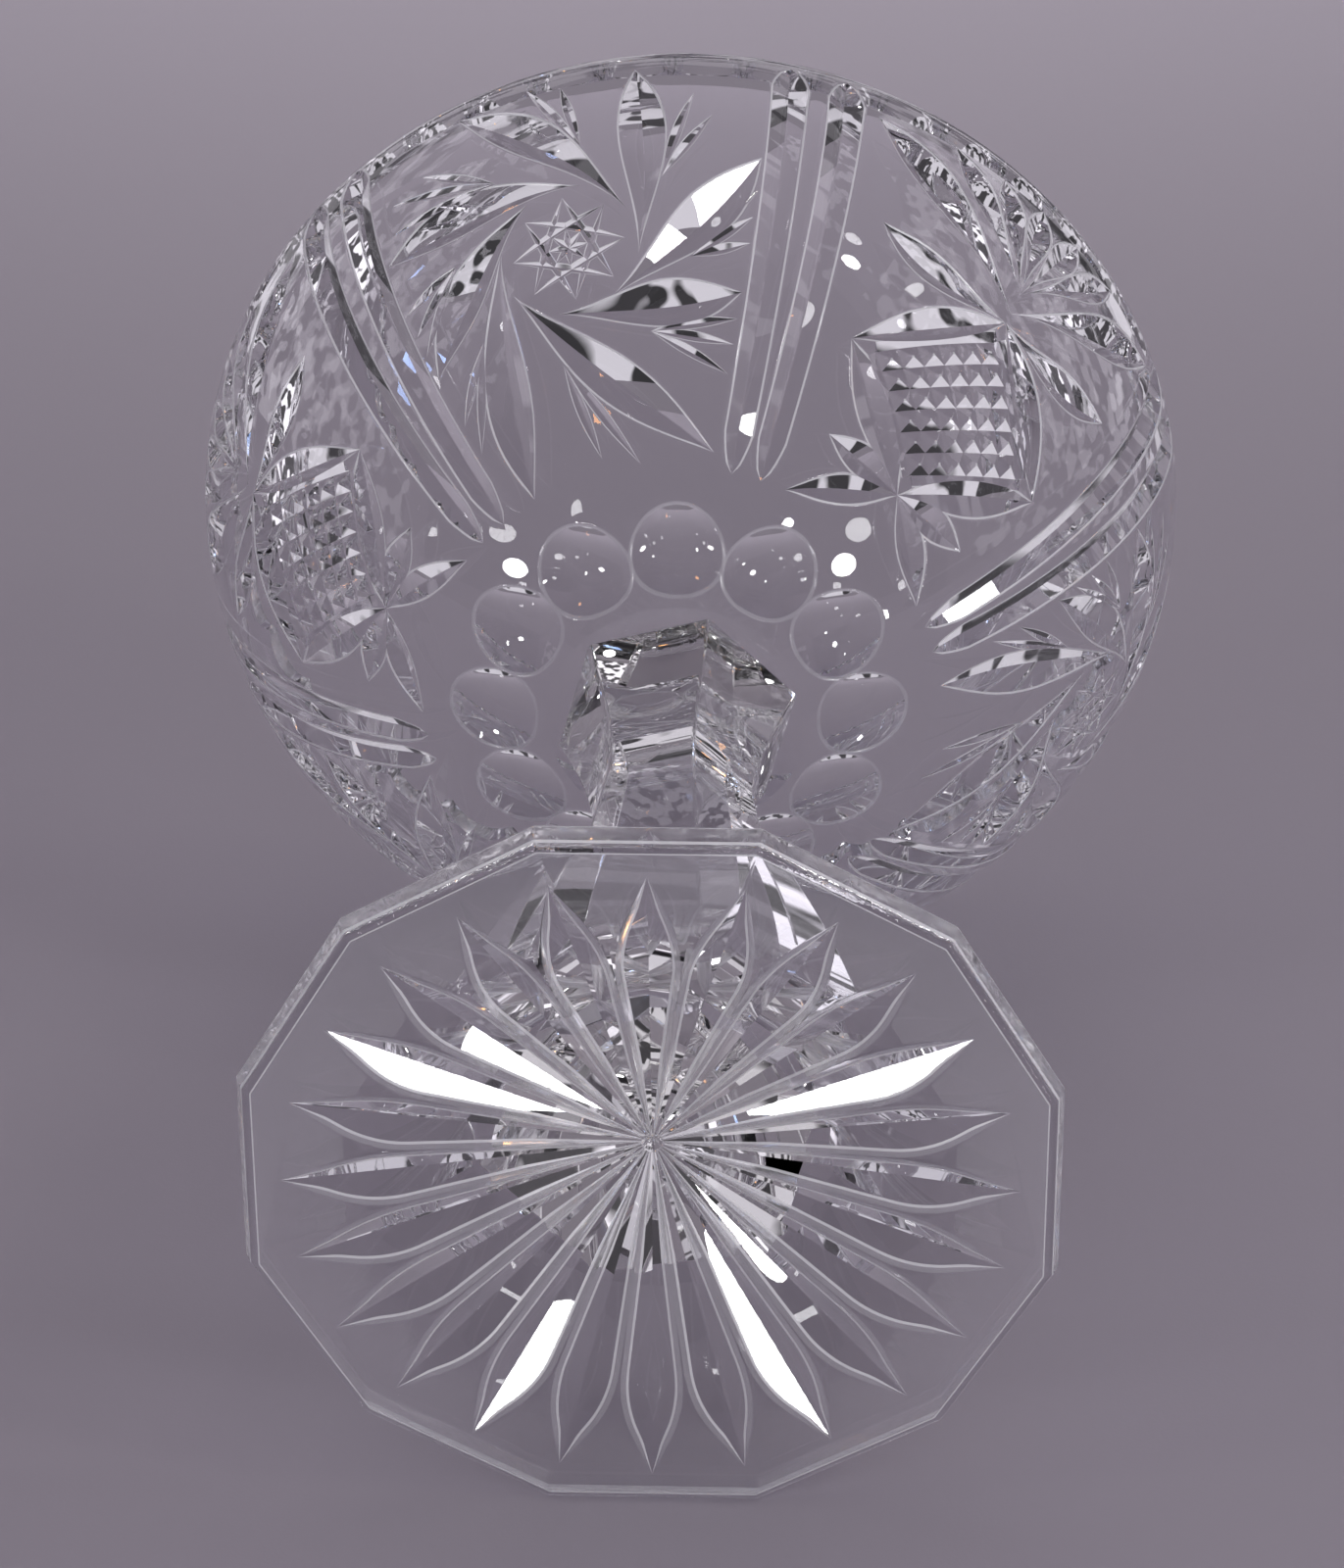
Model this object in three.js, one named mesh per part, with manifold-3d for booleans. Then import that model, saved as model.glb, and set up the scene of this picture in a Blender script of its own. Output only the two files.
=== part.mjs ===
// A cut glass compote: a deep bowl with cut panels and a scalloped rim, on a six-sided waisted
// stem and a twelve-sided foot with a star cut into its underside.
// Millimetres. The origin is the centre of the foot's underside and +Z points up.
// The pieces are a bowl, a stem and a foot, joined face to face by two thin films of clear bond.

import * as THREE from "three";
import { mergeVertices } from "three/addons/utils/BufferGeometryUtils.js";
import Module from "manifold-3d";

const wasm = await Module();
wasm.setup();

// Foot: radii are measured to the corners of the outline.
const FOOT_SIDES = 12;
const FOOT_RADIUS = 59.5;
const FOOT_UNDERCUT = 1.4; // how far the underside's outline is drawn in from the edge band
const FOOT_BAND = 3.7; // height of the edge band
const FOOT_RISE = 10.3; // from the edge band up to the seat of the stem
const FOOT_SWEEP = 2; // exponent of the top's rise from the edge to the seat

// Star under the foot: straight rays in a hollow cone, running out through a flat border.
const STAR_RAYS = 24;
const STAR_MARGIN = 4.6; // from the rays' tips to the nearest point of the underside's edge
const STAR_START = 1.6;
const STAR_FULLNESS = 0.88; // share of the pitch that a ray takes up inside the cone
const STAR_PIT_RADIUS = 2.4;
const STAR_PIT_DEPTH = 1;
const HOLLOW_DEPTH = 10.6; // of the cone's tip above the flat border

// Stem: radii are measured to the corners of the hexagon.
const STEM_SIDES = 6;
const STEM_LENGTH = 108.6;
const STEM_TOP_RADIUS = 19.4;
const STEM_WAIST_RADIUS = 12.8;
const STEM_WAIST_DROP = 25.6; // from the top of the stem down to its waist
const STEM_SKIRT_RADIUS = 26; // that the long flare below the waist comes to at the base
const STEM_TOP_SWEEP = 1.5; // exponent of the flare above the waist
const STEM_SKIRT_SWEEP = 1.05; // exponent of the long flare below the waist

// Bond films.
const BOND_THICKNESS = 0.2;
const BOND_GAP = 0.02; // between a film and the glass on each side
const BOND_INSET = 0.3; // the film's edge stays this far inside the hexagon

// Bowl: the outside swells from a flat seat to the widest place and closes a little to the rim.
const BOWL_RADIUS = 81.5;
const BOWL_SWELL = 70.5; // height from the curve's lowest point to the widest place
const BOWL_FULLNESS = 1.83; // 2 would be an ellipse, less is more pointed below
const SWELL_SHARE = 0.9; // share of the outside curve's parameter below the widest place
const RIM_CLOSING = 2.3; // how much smaller the rim's radius is than the widest one
const RIM_RISE = 9; // from the widest place up to the tips of the rim
const RIM_WALL = 4.6;
const FLOOR_THICKNESS = 9;
const SEAT_MARGIN = 1.1; // the bowl's flat seat reaches this far past the stem's corners

// Scalloped rim.
const SCALLOPS = 42;
const SCALLOP_DEPTH = 2.2;
const SCALLOP_LAND = 0.7; // width of the tip left between two scallops
const SCALLOP_CUTTER_LENGTH = 20; // of the round wheel laid across the wall

// Thumbprints: round hollows in a ring round the bottom of the bowl.
const THUMBPRINTS = 12;
const THUMBPRINT_WIDTH = 15.2;
const THUMBPRINT_DEPTH = 1.8;
const THUMBPRINT_HEIGHT = 8.6; // of the centres above the seat's edge, in hundredths of the wall

// Cut panels. Places and sizes on the panels are in hundredths of the wall's length, measured
// along the glass, x to the right and y up from the edge of the seat.
const PANELS = 6;
const MITRE_HALF_ANGLE = THREE.MathUtils.degToRad(60); // of the wheel that cuts the grooves
const CUTTER_LIFT = 1.2; // how far a cutting shape stands clear of the glass, in millimetres
const AIM_STEP = 0.01; // share of a groove's length used to find its direction

const DIVIDER_ANGLE = THREE.MathUtils.degToRad(3.3); // of each groove from the panel's edge
const DIVIDER_BOTTOM = 21;
const DIVIDER_TOP = 94.5;
const DIVIDER_WIDTH = 5.6;
const DIVIDER_WIDEST = 0.7; // share of a cut's length, from its start, where it is widest

const PINWHEEL_CENTRE = 55.6;
const PINWHEEL_BLADES = 8;
const PINWHEEL_RADIUS = 36.5;
const PINWHEEL_TRIM = 0.25; // step by which a blade is shortened until it clears the divider
const PINWHEEL_HUB = 10.5;
const PINWHEEL_TURN = THREE.MathUtils.degToRad(86); // from a blade's root round to its tip
const PINWHEEL_LEAN = THREE.MathUtils.degToRad(19); // of the first blade's tip from upright
const BLADE_WIDTH = 7.4;
const BLADE_WIDEST = 0.6;
const BLADE_BOW = -1.6;

const DIAMOND_CENTRE = 45;
const DIAMOND_HALF_WIDTH = 19.5;
const DIAMOND_HALF_HEIGHT = 16.5;
const DIAMOND_FRAME_WIDTH = 6.2;
const DIAMOND_CELLS = 6;

const FAN_CENTRE = 63.5;
const FAN_TOP = 88;
const FAN_ROOT_STEP = 4; // from the middle of the arms up to where the leaves start
const FAN_LEAF_TIPS = [-17, -8, 0, 8, 17];
const FAN_LEAF_WIDTH = 5.2;
const FAN_LEAF_WIDEST = 0.7;
const FAN_ARM_TIP = new THREE.Vector2(30, 86);
const FAN_ARM_WIDTH = 7;
const FAN_ARM_WIDEST = 0.65;
const FAN_WING_TIP = new THREE.Vector2(24, 65);
const FAN_WING_WIDTH = 5.4;
const FAN_WING_WIDEST = 0.6;
const FAN_WING_BOW = 2;
const TAIL_HIGH_TIP = new THREE.Vector2(14, 30.5);
const TAIL_LOW_TIP = new THREE.Vector2(14, 20.5);
const TAIL_WIDTH = 5;

// Mesh fineness.
const BOWL_SEGMENTS = SCALLOPS;
const SWELL_STEPS = 8;
const SWELL_CROWDING = 0.9; // below 1 the rings of the outside stand closer towards the rim
const INSIDE_STEPS = 7;
const STEM_LOW_STEPS = 8;
const STEM_HIGH_STEPS = 6;
const FOOT_TOP_STEPS = 5;
const SCALLOP_SEGMENTS = 14;
const BALL_SEGMENTS = 20;
const LONG_CUT_STEPS = 5;
const LEAF_STEPS = 4;
const HATCH_STEPS = 2;
const HOLLOW_SEGMENTS = 2 * STAR_RAYS;

// The first corner of every ring of glass stands this far round from -Y.
const FIRST_CORNER = Math.PI / FOOT_SIDES;

// Heights that follow from the sizes above.
const FOOT_SEAT = FOOT_BAND + FOOT_RISE;
const STEM_FOOT = FOOT_SEAT + BOND_THICKNESS + 2 * BOND_GAP;
const STEM_HEAD = STEM_FOOT + STEM_LENGTH;
const BOWL_SEAT = STEM_HEAD + BOND_THICKNESS + 2 * BOND_GAP;

// Radii that follow from them.
const UNDERSIDE_RADIUS = FOOT_RADIUS - FOOT_UNDERCUT;
const STAR_RADIUS = UNDERSIDE_RADIUS * Math.cos(Math.PI / FOOT_SIDES) - STAR_MARGIN;
const SEAT_RADIUS = STEM_TOP_RADIUS + SEAT_MARGIN;
const RIM_RADIUS = BOWL_RADIUS - RIM_CLOSING;

// How far below the widest place the swelling curve runs, as a share of its whole height.
function swellDrop(angle) {
  return Math.max(Math.cos(angle), 0) ** (2 / BOWL_FULLNESS);
}

// The bowl's outside in section: x is the radius and y the height above the curve's lowest point.
class BowlOutside extends THREE.Curve {
  constructor() {
    super();
    this.seatAngle = Math.asin(SEAT_RADIUS / BOWL_RADIUS);
  }

  getPoint(t, target = new THREE.Vector2()) {
    if (t <= SWELL_SHARE) {
      const angle = THREE.MathUtils.lerp(this.seatAngle, Math.PI / 2, t / SWELL_SHARE);
      return target.set(BOWL_RADIUS * Math.sin(angle), BOWL_SWELL * (1 - swellDrop(angle)));
    }
    const rise = (t - SWELL_SHARE) / (1 - SWELL_SHARE);
    return target.set(BOWL_RADIUS - RIM_CLOSING * rise ** 2, BOWL_SWELL + RIM_RISE * rise);
  }
}

const outside = new BowlOutside();
const SEAT_SAG = outside.getPoint(0).y;
const WALL_UNIT = outside.getLength() / 100;

// Turns a closed three.js geometry into a solid that can be joined and cut.
function solidFrom(geometry) {
  const bare = geometry.clone();
  bare.deleteAttribute("normal");
  bare.deleteAttribute("uv");
  const merged = mergeVertices(bare, 1e-4);
  const index = merged.index.array;
  const kept = [];
  for (let i = 0; i < index.length; i += 3) {
    const [a, b, c] = index.slice(i, i + 3);
    if (a !== b && b !== c && c !== a) kept.push(a, b, c);
  }
  const vertProperties = merged.attributes.position.array;
  const triVerts = new Uint32Array(kept);
  return new wasm.Manifold(new wasm.Mesh({ numProp: 3, vertProperties, triVerts }));
}

function geometryFrom(solid) {
  const mesh = solid.getMesh();
  const geometry = new THREE.BufferGeometry();
  geometry.setAttribute("position", new THREE.BufferAttribute(mesh.vertProperties, 3));
  geometry.setIndex(new THREE.BufferAttribute(mesh.triVerts, 1));
  geometry.computeVertexNormals();
  return geometry;
}

function cutAll(body, cutters) {
  return cutters.reduce((rest, cutter) => rest.subtract(cutter), body);
}

// A profile of radius and height turned round +Z with its corners on the foot's corners.
function turned(profile, sides) {
  const lathe = new THREE.LatheGeometry(profile, sides, FIRST_CORNER, 2 * Math.PI);
  return lathe.rotateX(Math.PI / 2);
}

// A closed solid from rings of three points each: two along the top edges and one at the bottom.
function grooveSolid(rings) {
  const positions = rings.flat().flatMap((point) => point.toArray());
  const faces = [];
  for (let i = 0; i + 1 < rings.length; i++) {
    for (let side = 0; side < 3; side++) {
      const a = 3 * i + side;
      const b = 3 * i + ((side + 1) % 3);
      faces.push(a, b, b + 3, a, b + 3, a + 3);
    }
  }
  const last = 3 * (rings.length - 1);
  faces.push(2, 1, 0, last, last + 1, last + 2);
  const geometry = new THREE.BufferGeometry();
  geometry.setAttribute("position", new THREE.Float32BufferAttribute(positions, 3));
  geometry.setIndex(faces);
  return solidFrom(geometry);
}

// The cutting shape of one V-shaped groove. path(t) gives the groove's line on the surface,
// halfWidth(t) half its width there, and place(x, y, lift) a point in space.
function groove(path, halfWidth, place, steps) {
  const spread = Math.tan(MITRE_HALF_ANGLE);
  const rings = [];
  for (let i = 0; i <= steps; i++) {
    const t = i / steps;
    const centre = path(t);
    const ahead = path(t + AIM_STEP).sub(path(t - AIM_STEP)).normalize();
    const half = halfWidth(t);
    const reach = half + CUTTER_LIFT * spread;
    rings.push([
      place(centre.x - ahead.y * reach, centre.y + ahead.x * reach, CUTTER_LIFT),
      place(centre.x + ahead.y * reach, centre.y - ahead.x * reach, CUTTER_LIFT),
      place(centre.x, centre.y, -half / spread),
    ]);
  }
  return grooveSolid(rings);
}

// A line from one point to another that bows sideways in its middle.
function bowedLine(from, to, bow = 0) {
  const side = to.clone().sub(from).normalize();
  side.set(-side.y, side.x);
  return (t) => from.clone().lerp(to, t).addScaledVector(side, 4 * bow * t * (1 - t));
}

// The half width of a leaf-shaped cut that is widest at the given share of its length.
function leaf(width, widest = 0.5) {
  const skew = Math.log(0.5) / Math.log(widest);
  return (t) => (width / 2) * Math.sin(Math.PI * THREE.MathUtils.clamp(t, 0, 1) ** skew);
}

// A panel's own surface: x and y are millimetres along the glass from the seat's edge at the
// panel's middle line, which stands at the given angle round +Z.
function panelSurface(angle) {
  return (x, y, lift) => {
    const share = THREE.MathUtils.clamp(y / outside.getLength(), 0, 1);
    const point = outside.getPointAt(share);
    const along = outside.getTangentAt(share);
    const turn = angle + x / point.x;
    const radius = point.x + along.y * lift;
    const height = BOWL_SEAT - SEAT_SAG + point.y - along.x * lift;
    return new THREE.Vector3(radius * Math.cos(turn), radius * Math.sin(turn), height);
  };
}

// A point on a panel in pattern units, as millimetres along the glass.
function onPanel(x, y) {
  return new THREE.Vector2(x, y).multiplyScalar(WALL_UNIT);
}

// A leaf-shaped cut between two pattern points.
function leafCut(place, from, to, width, { bow = 0, widest = 0.5, steps = LEAF_STEPS } = {}) {
  const line = bowedLine(onPanel(...from), onPanel(...to), bow * WALL_UNIT);
  return groove(line, leaf(width * WALL_UNIT, widest), place, steps);
}

// A cut of one width from end to end.
function evenCut(place, from, to, width) {
  const line = bowedLine(onPanel(...from), onPanel(...to));
  return groove(line, () => (width * WALL_UNIT) / 2, place, HATCH_STEPS);
}

// The two long grooves that stand on either side of a panel's edge, each on its own meridian.
function dividerCuts(edgeAngle) {
  return [-DIVIDER_ANGLE, DIVIDER_ANGLE].map((offset) => {
    const place = panelSurface(edgeAngle + offset);
    const ends = [[0, DIVIDER_BOTTOM], [0, DIVIDER_TOP]];
    return leafCut(place, ...ends, DIVIDER_WIDTH, { widest: DIVIDER_WIDEST, steps: LONG_CUT_STEPS });
  });
}

// A pattern point at a distance from the pinwheel's middle, turned clockwise from upright.
function aroundPinwheel(turn, radius) {
  return [radius * Math.sin(turn), PINWHEEL_CENTRE + radius * Math.cos(turn)];
}

// The longest blade, up to the pinwheel's own radius, whose tip stays between the dividers.
function bladeReach(turn) {
  let radius = PINWHEEL_RADIUS;
  for (; radius > PINWHEEL_HUB; radius -= PINWHEEL_TRIM) {
    const [x, y] = aroundPinwheel(turn, radius);
    const wall = outside.getPointAt(THREE.MathUtils.clamp(y / 100, 0, 1)).x / WALL_UNIT;
    const room = wall * (Math.PI / PANELS - DIVIDER_ANGLE) - DIVIDER_WIDTH / 2;
    if (Math.abs(x) <= room) break;
  }
  return radius;
}

// Eight curved blades that leave a round hub at a slant, like the vanes of a windmill.
function pinwheelCuts(angle) {
  const place = panelSurface(angle);
  return Array.from({ length: PINWHEEL_BLADES }, (_, i) => {
    const tipTurn = PINWHEEL_LEAN + (2 * Math.PI * i) / PINWHEEL_BLADES;
    const root = aroundPinwheel(tipTurn + PINWHEEL_TURN, PINWHEEL_HUB);
    const tip = aroundPinwheel(tipTurn, bladeReach(tipTurn));
    return leafCut(place, root, tip, BLADE_WIDTH, { bow: BLADE_BOW, widest: BLADE_WIDEST });
  });
}

// A diamond of small pyramids inside a frame of four leaf-shaped cuts.
function diamondCuts(angle) {
  const place = panelSurface(angle);
  const corner = (across, up) => [
    across * DIAMOND_HALF_WIDTH,
    DIAMOND_CENTRE + up * DIAMOND_HALF_HEIGHT,
  ];
  const corners = [corner(-1, 0), corner(0, -1), corner(1, 0), corner(0, 1)];
  const frame = corners.map((from, i) =>
    leafCut(place, from, corners[(i + 1) % 4], DIAMOND_FRAME_WIDTH),
  );
  const pitch = Math.hypot(DIAMOND_HALF_WIDTH, DIAMOND_HALF_HEIGHT) / DIAMOND_CELLS;
  const hatch = [];
  for (let line = 1; line < DIAMOND_CELLS; line++) {
    const share = line / DIAMOND_CELLS;
    const between = (a, b) => corners[a].map((v, k) => v + (corners[b][k] - v) * share);
    hatch.push(evenCut(place, between(0, 1), between(3, 2), pitch));
    hatch.push(evenCut(place, between(1, 2), between(0, 3), pitch));
  }
  return [...hatch, ...frame];
}

// A fan of leaves above the diamond, with two broad arms and two wings, and a tail of four
// leaves below it.
function fanCuts(angle) {
  const place = panelSurface(angle);
  const heart = [0, FAN_CENTRE];
  const leafRoot = [0, FAN_CENTRE + FAN_ROOT_STEP];
  const wingRoot = [0, FAN_CENTRE - FAN_ROOT_STEP / 2];
  const foot = [0, DIAMOND_CENTRE - DIAMOND_HALF_HEIGHT];
  const cuts = FAN_LEAF_TIPS.map((x) =>
    leafCut(place, leafRoot, [x, FAN_TOP], FAN_LEAF_WIDTH, { widest: FAN_LEAF_WIDEST }),
  );
  for (const side of [-1, 1]) {
    const to = (tip) => [side * tip.x, tip.y];
    const wing = { bow: -side * FAN_WING_BOW, widest: FAN_WING_WIDEST };
    cuts.push(
      leafCut(place, heart, to(FAN_ARM_TIP), FAN_ARM_WIDTH, { widest: FAN_ARM_WIDEST }),
      leafCut(place, wingRoot, to(FAN_WING_TIP), FAN_WING_WIDTH, wing),
      leafCut(place, foot, to(TAIL_HIGH_TIP), TAIL_WIDTH),
      leafCut(place, foot, to(TAIL_LOW_TIP), TAIL_WIDTH),
    );
  }
  return cuts;
}

// Round hollows whose rims nearly touch, as a small round wheel leaves them.
function thumbprintCuts() {
  const half = THUMBPRINT_WIDTH / 2;
  const radius = (half ** 2 + THUMBPRINT_DEPTH ** 2) / (2 * THUMBPRINT_DEPTH);
  return Array.from({ length: THUMBPRINTS }, (_, i) => {
    const place = panelSurface((2 * Math.PI * i) / THUMBPRINTS);
    const centre = place(0, THUMBPRINT_HEIGHT * WALL_UNIT, radius - THUMBPRINT_DEPTH);
    const ball = new THREE.SphereGeometry(radius, BALL_SEGMENTS, BALL_SEGMENTS / 2);
    return solidFrom(ball.translate(...centre.toArray()));
  });
}

// Cylinders lying across the wall that leave a row of hollows with a narrow tip between two.
function scallopCuts() {
  const pitch = (2 * Math.PI * RIM_RADIUS) / SCALLOPS;
  const half = (pitch - SCALLOP_LAND) / 2;
  const radius = (half ** 2 + SCALLOP_DEPTH ** 2) / (2 * SCALLOP_DEPTH);
  const top = BOWL_SEAT - SEAT_SAG + BOWL_SWELL + RIM_RISE;
  return Array.from({ length: SCALLOPS }, (_, i) => {
    const cutter = new THREE.CylinderGeometry(radius, radius, SCALLOP_CUTTER_LENGTH, SCALLOP_SEGMENTS);
    cutter.translate(0, RIM_RADIUS, 0);
    cutter.rotateZ(FIRST_CORNER + (2 * Math.PI * (i + 0.5)) / SCALLOPS);
    return solidFrom(cutter.translate(0, 0, top - SCALLOP_DEPTH + radius));
  });
}

function bowlProfile() {
  const base = BOWL_SEAT - SEAT_SAG;
  const profile = [new THREE.Vector2(0, BOWL_SEAT)];
  for (let i = 0; i <= SWELL_STEPS; i++) {
    const point = outside.getPointAt((i / SWELL_STEPS) ** SWELL_CROWDING);
    profile.push(point.add(new THREE.Vector2(0, base)));
  }
  const top = base + BOWL_SWELL + RIM_RISE;
  profile.push(new THREE.Vector2(RIM_RADIUS - RIM_WALL, top));
  for (let i = INSIDE_STEPS; i >= 0; i--) {
    const angle = ((Math.PI / 2) * i) / INSIDE_STEPS;
    const radius = (BOWL_RADIUS - RIM_WALL) * Math.sin(angle);
    const height = base + BOWL_SWELL - (BOWL_SWELL - FLOOR_THICKNESS) * swellDrop(angle);
    profile.push(new THREE.Vector2(radius, height));
  }
  return profile;
}

function makeBowl() {
  const cuts = [...scallopCuts(), ...thumbprintCuts()];
  for (let i = 0; i < PANELS; i++) {
    const middle = FIRST_CORNER + (2 * Math.PI * i) / PANELS;
    cuts.push(...dividerCuts(middle + Math.PI / PANELS));
    if (i % 2 === 0) cuts.push(...pinwheelCuts(middle));
    else cuts.push(...diamondCuts(middle), ...fanCuts(middle));
  }
  const blank = solidFrom(turned(bowlProfile(), BOWL_SEGMENTS));
  return geometryFrom(cutAll(blank, cuts));
}

// The hexagon's corner radius at a height above the stem's lower end.
function stemRadius(height) {
  const waist = STEM_LENGTH - STEM_WAIST_DROP;
  if (height >= waist) {
    const share = (height - waist) / STEM_WAIST_DROP;
    return STEM_WAIST_RADIUS + (STEM_TOP_RADIUS - STEM_WAIST_RADIUS) * share ** STEM_TOP_SWEEP;
  }
  const share = (waist - height) / waist;
  return STEM_WAIST_RADIUS + (STEM_SKIRT_RADIUS - STEM_WAIST_RADIUS) * share ** STEM_SKIRT_SWEEP;
}

function makeStem() {
  const waist = STEM_LENGTH - STEM_WAIST_DROP;
  const heights = [];
  for (let i = 0; i < STEM_LOW_STEPS; i++) {
    heights.push((waist * i) / STEM_LOW_STEPS);
  }
  for (let i = 0; i <= STEM_HIGH_STEPS; i++) {
    heights.push(waist + (STEM_WAIST_DROP * i) / STEM_HIGH_STEPS);
  }
  const sides = heights.map((height) => new THREE.Vector2(stemRadius(height), STEM_FOOT + height));
  const profile = [new THREE.Vector2(0, STEM_FOOT), ...sides, new THREE.Vector2(0, STEM_HEAD)];
  return turned(profile, STEM_SIDES);
}

// A cone that stands on a level below the underside, with its tip at the given height.
function hollowCone(tip, slope, base, segments) {
  const height = tip - base;
  const cone = new THREE.ConeGeometry(height / slope, height, segments).rotateX(Math.PI / 2);
  return solidFrom(cone.translate(0, 0, base + height / 2));
}

// V-shaped rays whose bottoms run straight from the cone's tip down to a point near the edge, so
// that they widen inside the cone and close again where they run out through the flat border. The
// cone is steeper than they are, by as much as leaves the wanted width between them.
function starCuts() {
  const underside = (x, y, lift) => new THREE.Vector3(x, -y, -lift);
  const pitch = (2 * Math.PI) / STAR_RAYS;
  const spread = Math.tan(MITRE_HALF_ANGLE);
  const raySlope = HOLLOW_DEPTH / STAR_RADIUS;
  const hollowSlope = raySlope + (STAR_FULLNESS * pitch) / 2 / spread;
  const radiusAt = (t) => THREE.MathUtils.lerp(STAR_START, STAR_RADIUS, t);
  const halfWidth = (t) => (HOLLOW_DEPTH - raySlope * radiusAt(t)) * spread;
  const rays = Array.from({ length: STAR_RAYS }, (_, i) => {
    const aim = new THREE.Vector2(Math.cos(pitch * i), Math.sin(pitch * i));
    return groove((t) => aim.clone().multiplyScalar(radiusAt(t)), halfWidth, underside, 1);
  });
  const pitSlope = STAR_PIT_DEPTH / STAR_PIT_RADIUS + hollowSlope;
  const hollow = hollowCone(HOLLOW_DEPTH, hollowSlope, -CUTTER_LIFT, HOLLOW_SEGMENTS);
  const pit = hollowCone(HOLLOW_DEPTH + STAR_PIT_DEPTH, pitSlope, HOLLOW_DEPTH / 2, FOOT_SIDES);
  return [hollow, ...rays, pit];
}

// A twelve-sided foot with an undercut edge band, whose facets rise to the stem's seat.
function makeFoot() {
  const profile = [new THREE.Vector2(0, 0), new THREE.Vector2(UNDERSIDE_RADIUS, 0)];
  for (let i = 0; i <= FOOT_TOP_STEPS; i++) {
    const share = i / FOOT_TOP_STEPS;
    const radius = THREE.MathUtils.lerp(FOOT_RADIUS, STEM_SKIRT_RADIUS + SEAT_MARGIN, share);
    profile.push(new THREE.Vector2(radius, FOOT_BAND + FOOT_RISE * share ** FOOT_SWEEP));
  }
  profile.push(new THREE.Vector2(0, FOOT_SEAT));
  return geometryFrom(cutAll(solidFrom(turned(profile, FOOT_SIDES)), starCuts()));
}

// A film the shape of the stem's end, with a hairline of room to the glass on both sides.
function makeBond(radius, seat) {
  const bottom = seat + BOND_GAP;
  const profile = [
    new THREE.Vector2(0, bottom),
    new THREE.Vector2(radius - BOND_INSET, bottom),
    new THREE.Vector2(radius - BOND_INSET, bottom + BOND_THICKNESS),
    new THREE.Vector2(0, bottom + BOND_THICKNESS),
  ];
  return turned(profile, STEM_SIDES);
}

// Colours and roughnesses of the pieces.
const GLASS_LOOK = { color: "#e4e4ea", roughness: 0.04 };
const BOND_LOOK = { color: "#f0f0ee", roughness: 0.1 };
const CLEARNESS = { metalness: 0, transparent: true, opacity: 0.35 };

const compote = new THREE.Group();

function addPiece(name, geometry, look) {
  const piece = new THREE.Mesh(geometry, new THREE.MeshStandardMaterial({ ...look, ...CLEARNESS }));
  piece.name = name;
  compote.add(piece);
}

addPiece("foot", makeFoot(), GLASS_LOOK);
addPiece("foot_bond", makeBond(STEM_SKIRT_RADIUS, FOOT_SEAT), BOND_LOOK);
addPiece("stem", makeStem(), GLASS_LOOK);
addPiece("bowl_bond", makeBond(STEM_TOP_RADIUS, STEM_HEAD), BOND_LOOK);
addPiece("bowl", makeBowl(), GLASS_LOOK);

export default compote;
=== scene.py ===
# %% [markdown]
# A cut glass compote
#
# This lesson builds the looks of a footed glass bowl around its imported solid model. The real one
# is clear lead glass: a deep bowl with panels of cut ornament and a scalloped rim, a waisted
# six-sided stem, and a twelve-sided foot that is hollow underneath, with a star cut into the
# hollow. Clear glass has no colour of its own to paint, so nearly everything the eye sees comes
# from three things: exact shape, clean joints that light passes through, and what stands around
# the glass.
#
# The solid model comes first, because every visible piece has to fill the same space.

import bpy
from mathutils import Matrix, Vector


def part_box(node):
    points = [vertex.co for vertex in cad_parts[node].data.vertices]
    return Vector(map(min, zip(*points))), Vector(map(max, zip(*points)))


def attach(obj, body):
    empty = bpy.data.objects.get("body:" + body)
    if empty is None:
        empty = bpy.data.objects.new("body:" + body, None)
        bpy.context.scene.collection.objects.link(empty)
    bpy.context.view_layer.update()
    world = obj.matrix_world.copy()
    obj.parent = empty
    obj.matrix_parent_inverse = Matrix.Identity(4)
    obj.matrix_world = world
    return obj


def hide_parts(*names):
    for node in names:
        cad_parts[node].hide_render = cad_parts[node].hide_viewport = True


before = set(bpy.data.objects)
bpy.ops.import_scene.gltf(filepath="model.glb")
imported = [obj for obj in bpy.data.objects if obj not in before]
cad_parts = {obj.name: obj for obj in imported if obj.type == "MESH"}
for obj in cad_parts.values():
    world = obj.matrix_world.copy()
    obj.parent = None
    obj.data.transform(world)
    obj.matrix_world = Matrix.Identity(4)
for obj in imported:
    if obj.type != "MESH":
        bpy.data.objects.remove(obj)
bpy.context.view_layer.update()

# %% [markdown]
# The camera comes before the object, so that every draft is seen as the photograph shows it. The
# compote lies on its side there, with its foot towards us. The model stands upright, so the whole
# studio is turned instead: the camera looks up at it from below and in front, and its picture is
# turned so that the table would be at the bottom. The place was found by fitting the corners of
# the foot, the stem and the rim. The long side of a 1371 by 1600 picture sets the lens.

# %% Place the camera
import math
from functools import partial

import bpy
import numpy as np
from mathutils import Matrix, Vector

CAMERA_PLACE = Vector((0.0256, -0.4648, -0.6265))
CAMERA_AIM = Vector((-0.0001, -0.0027, 0.1))
PICTURE_UP = Vector((-0.0130, -0.8439, 0.5363))
LENS_MM = 128.5
SENSOR_MM = 36


def look(place, aim, up):
    """The matrix of a thing at place that looks at aim, with its top towards up."""
    back = (place - aim).normalized()
    right = up.cross(back).normalized()
    turned = Matrix((right, back.cross(right), back)).transposed()
    return Matrix.Translation(place) @ turned.to_4x4()


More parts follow.
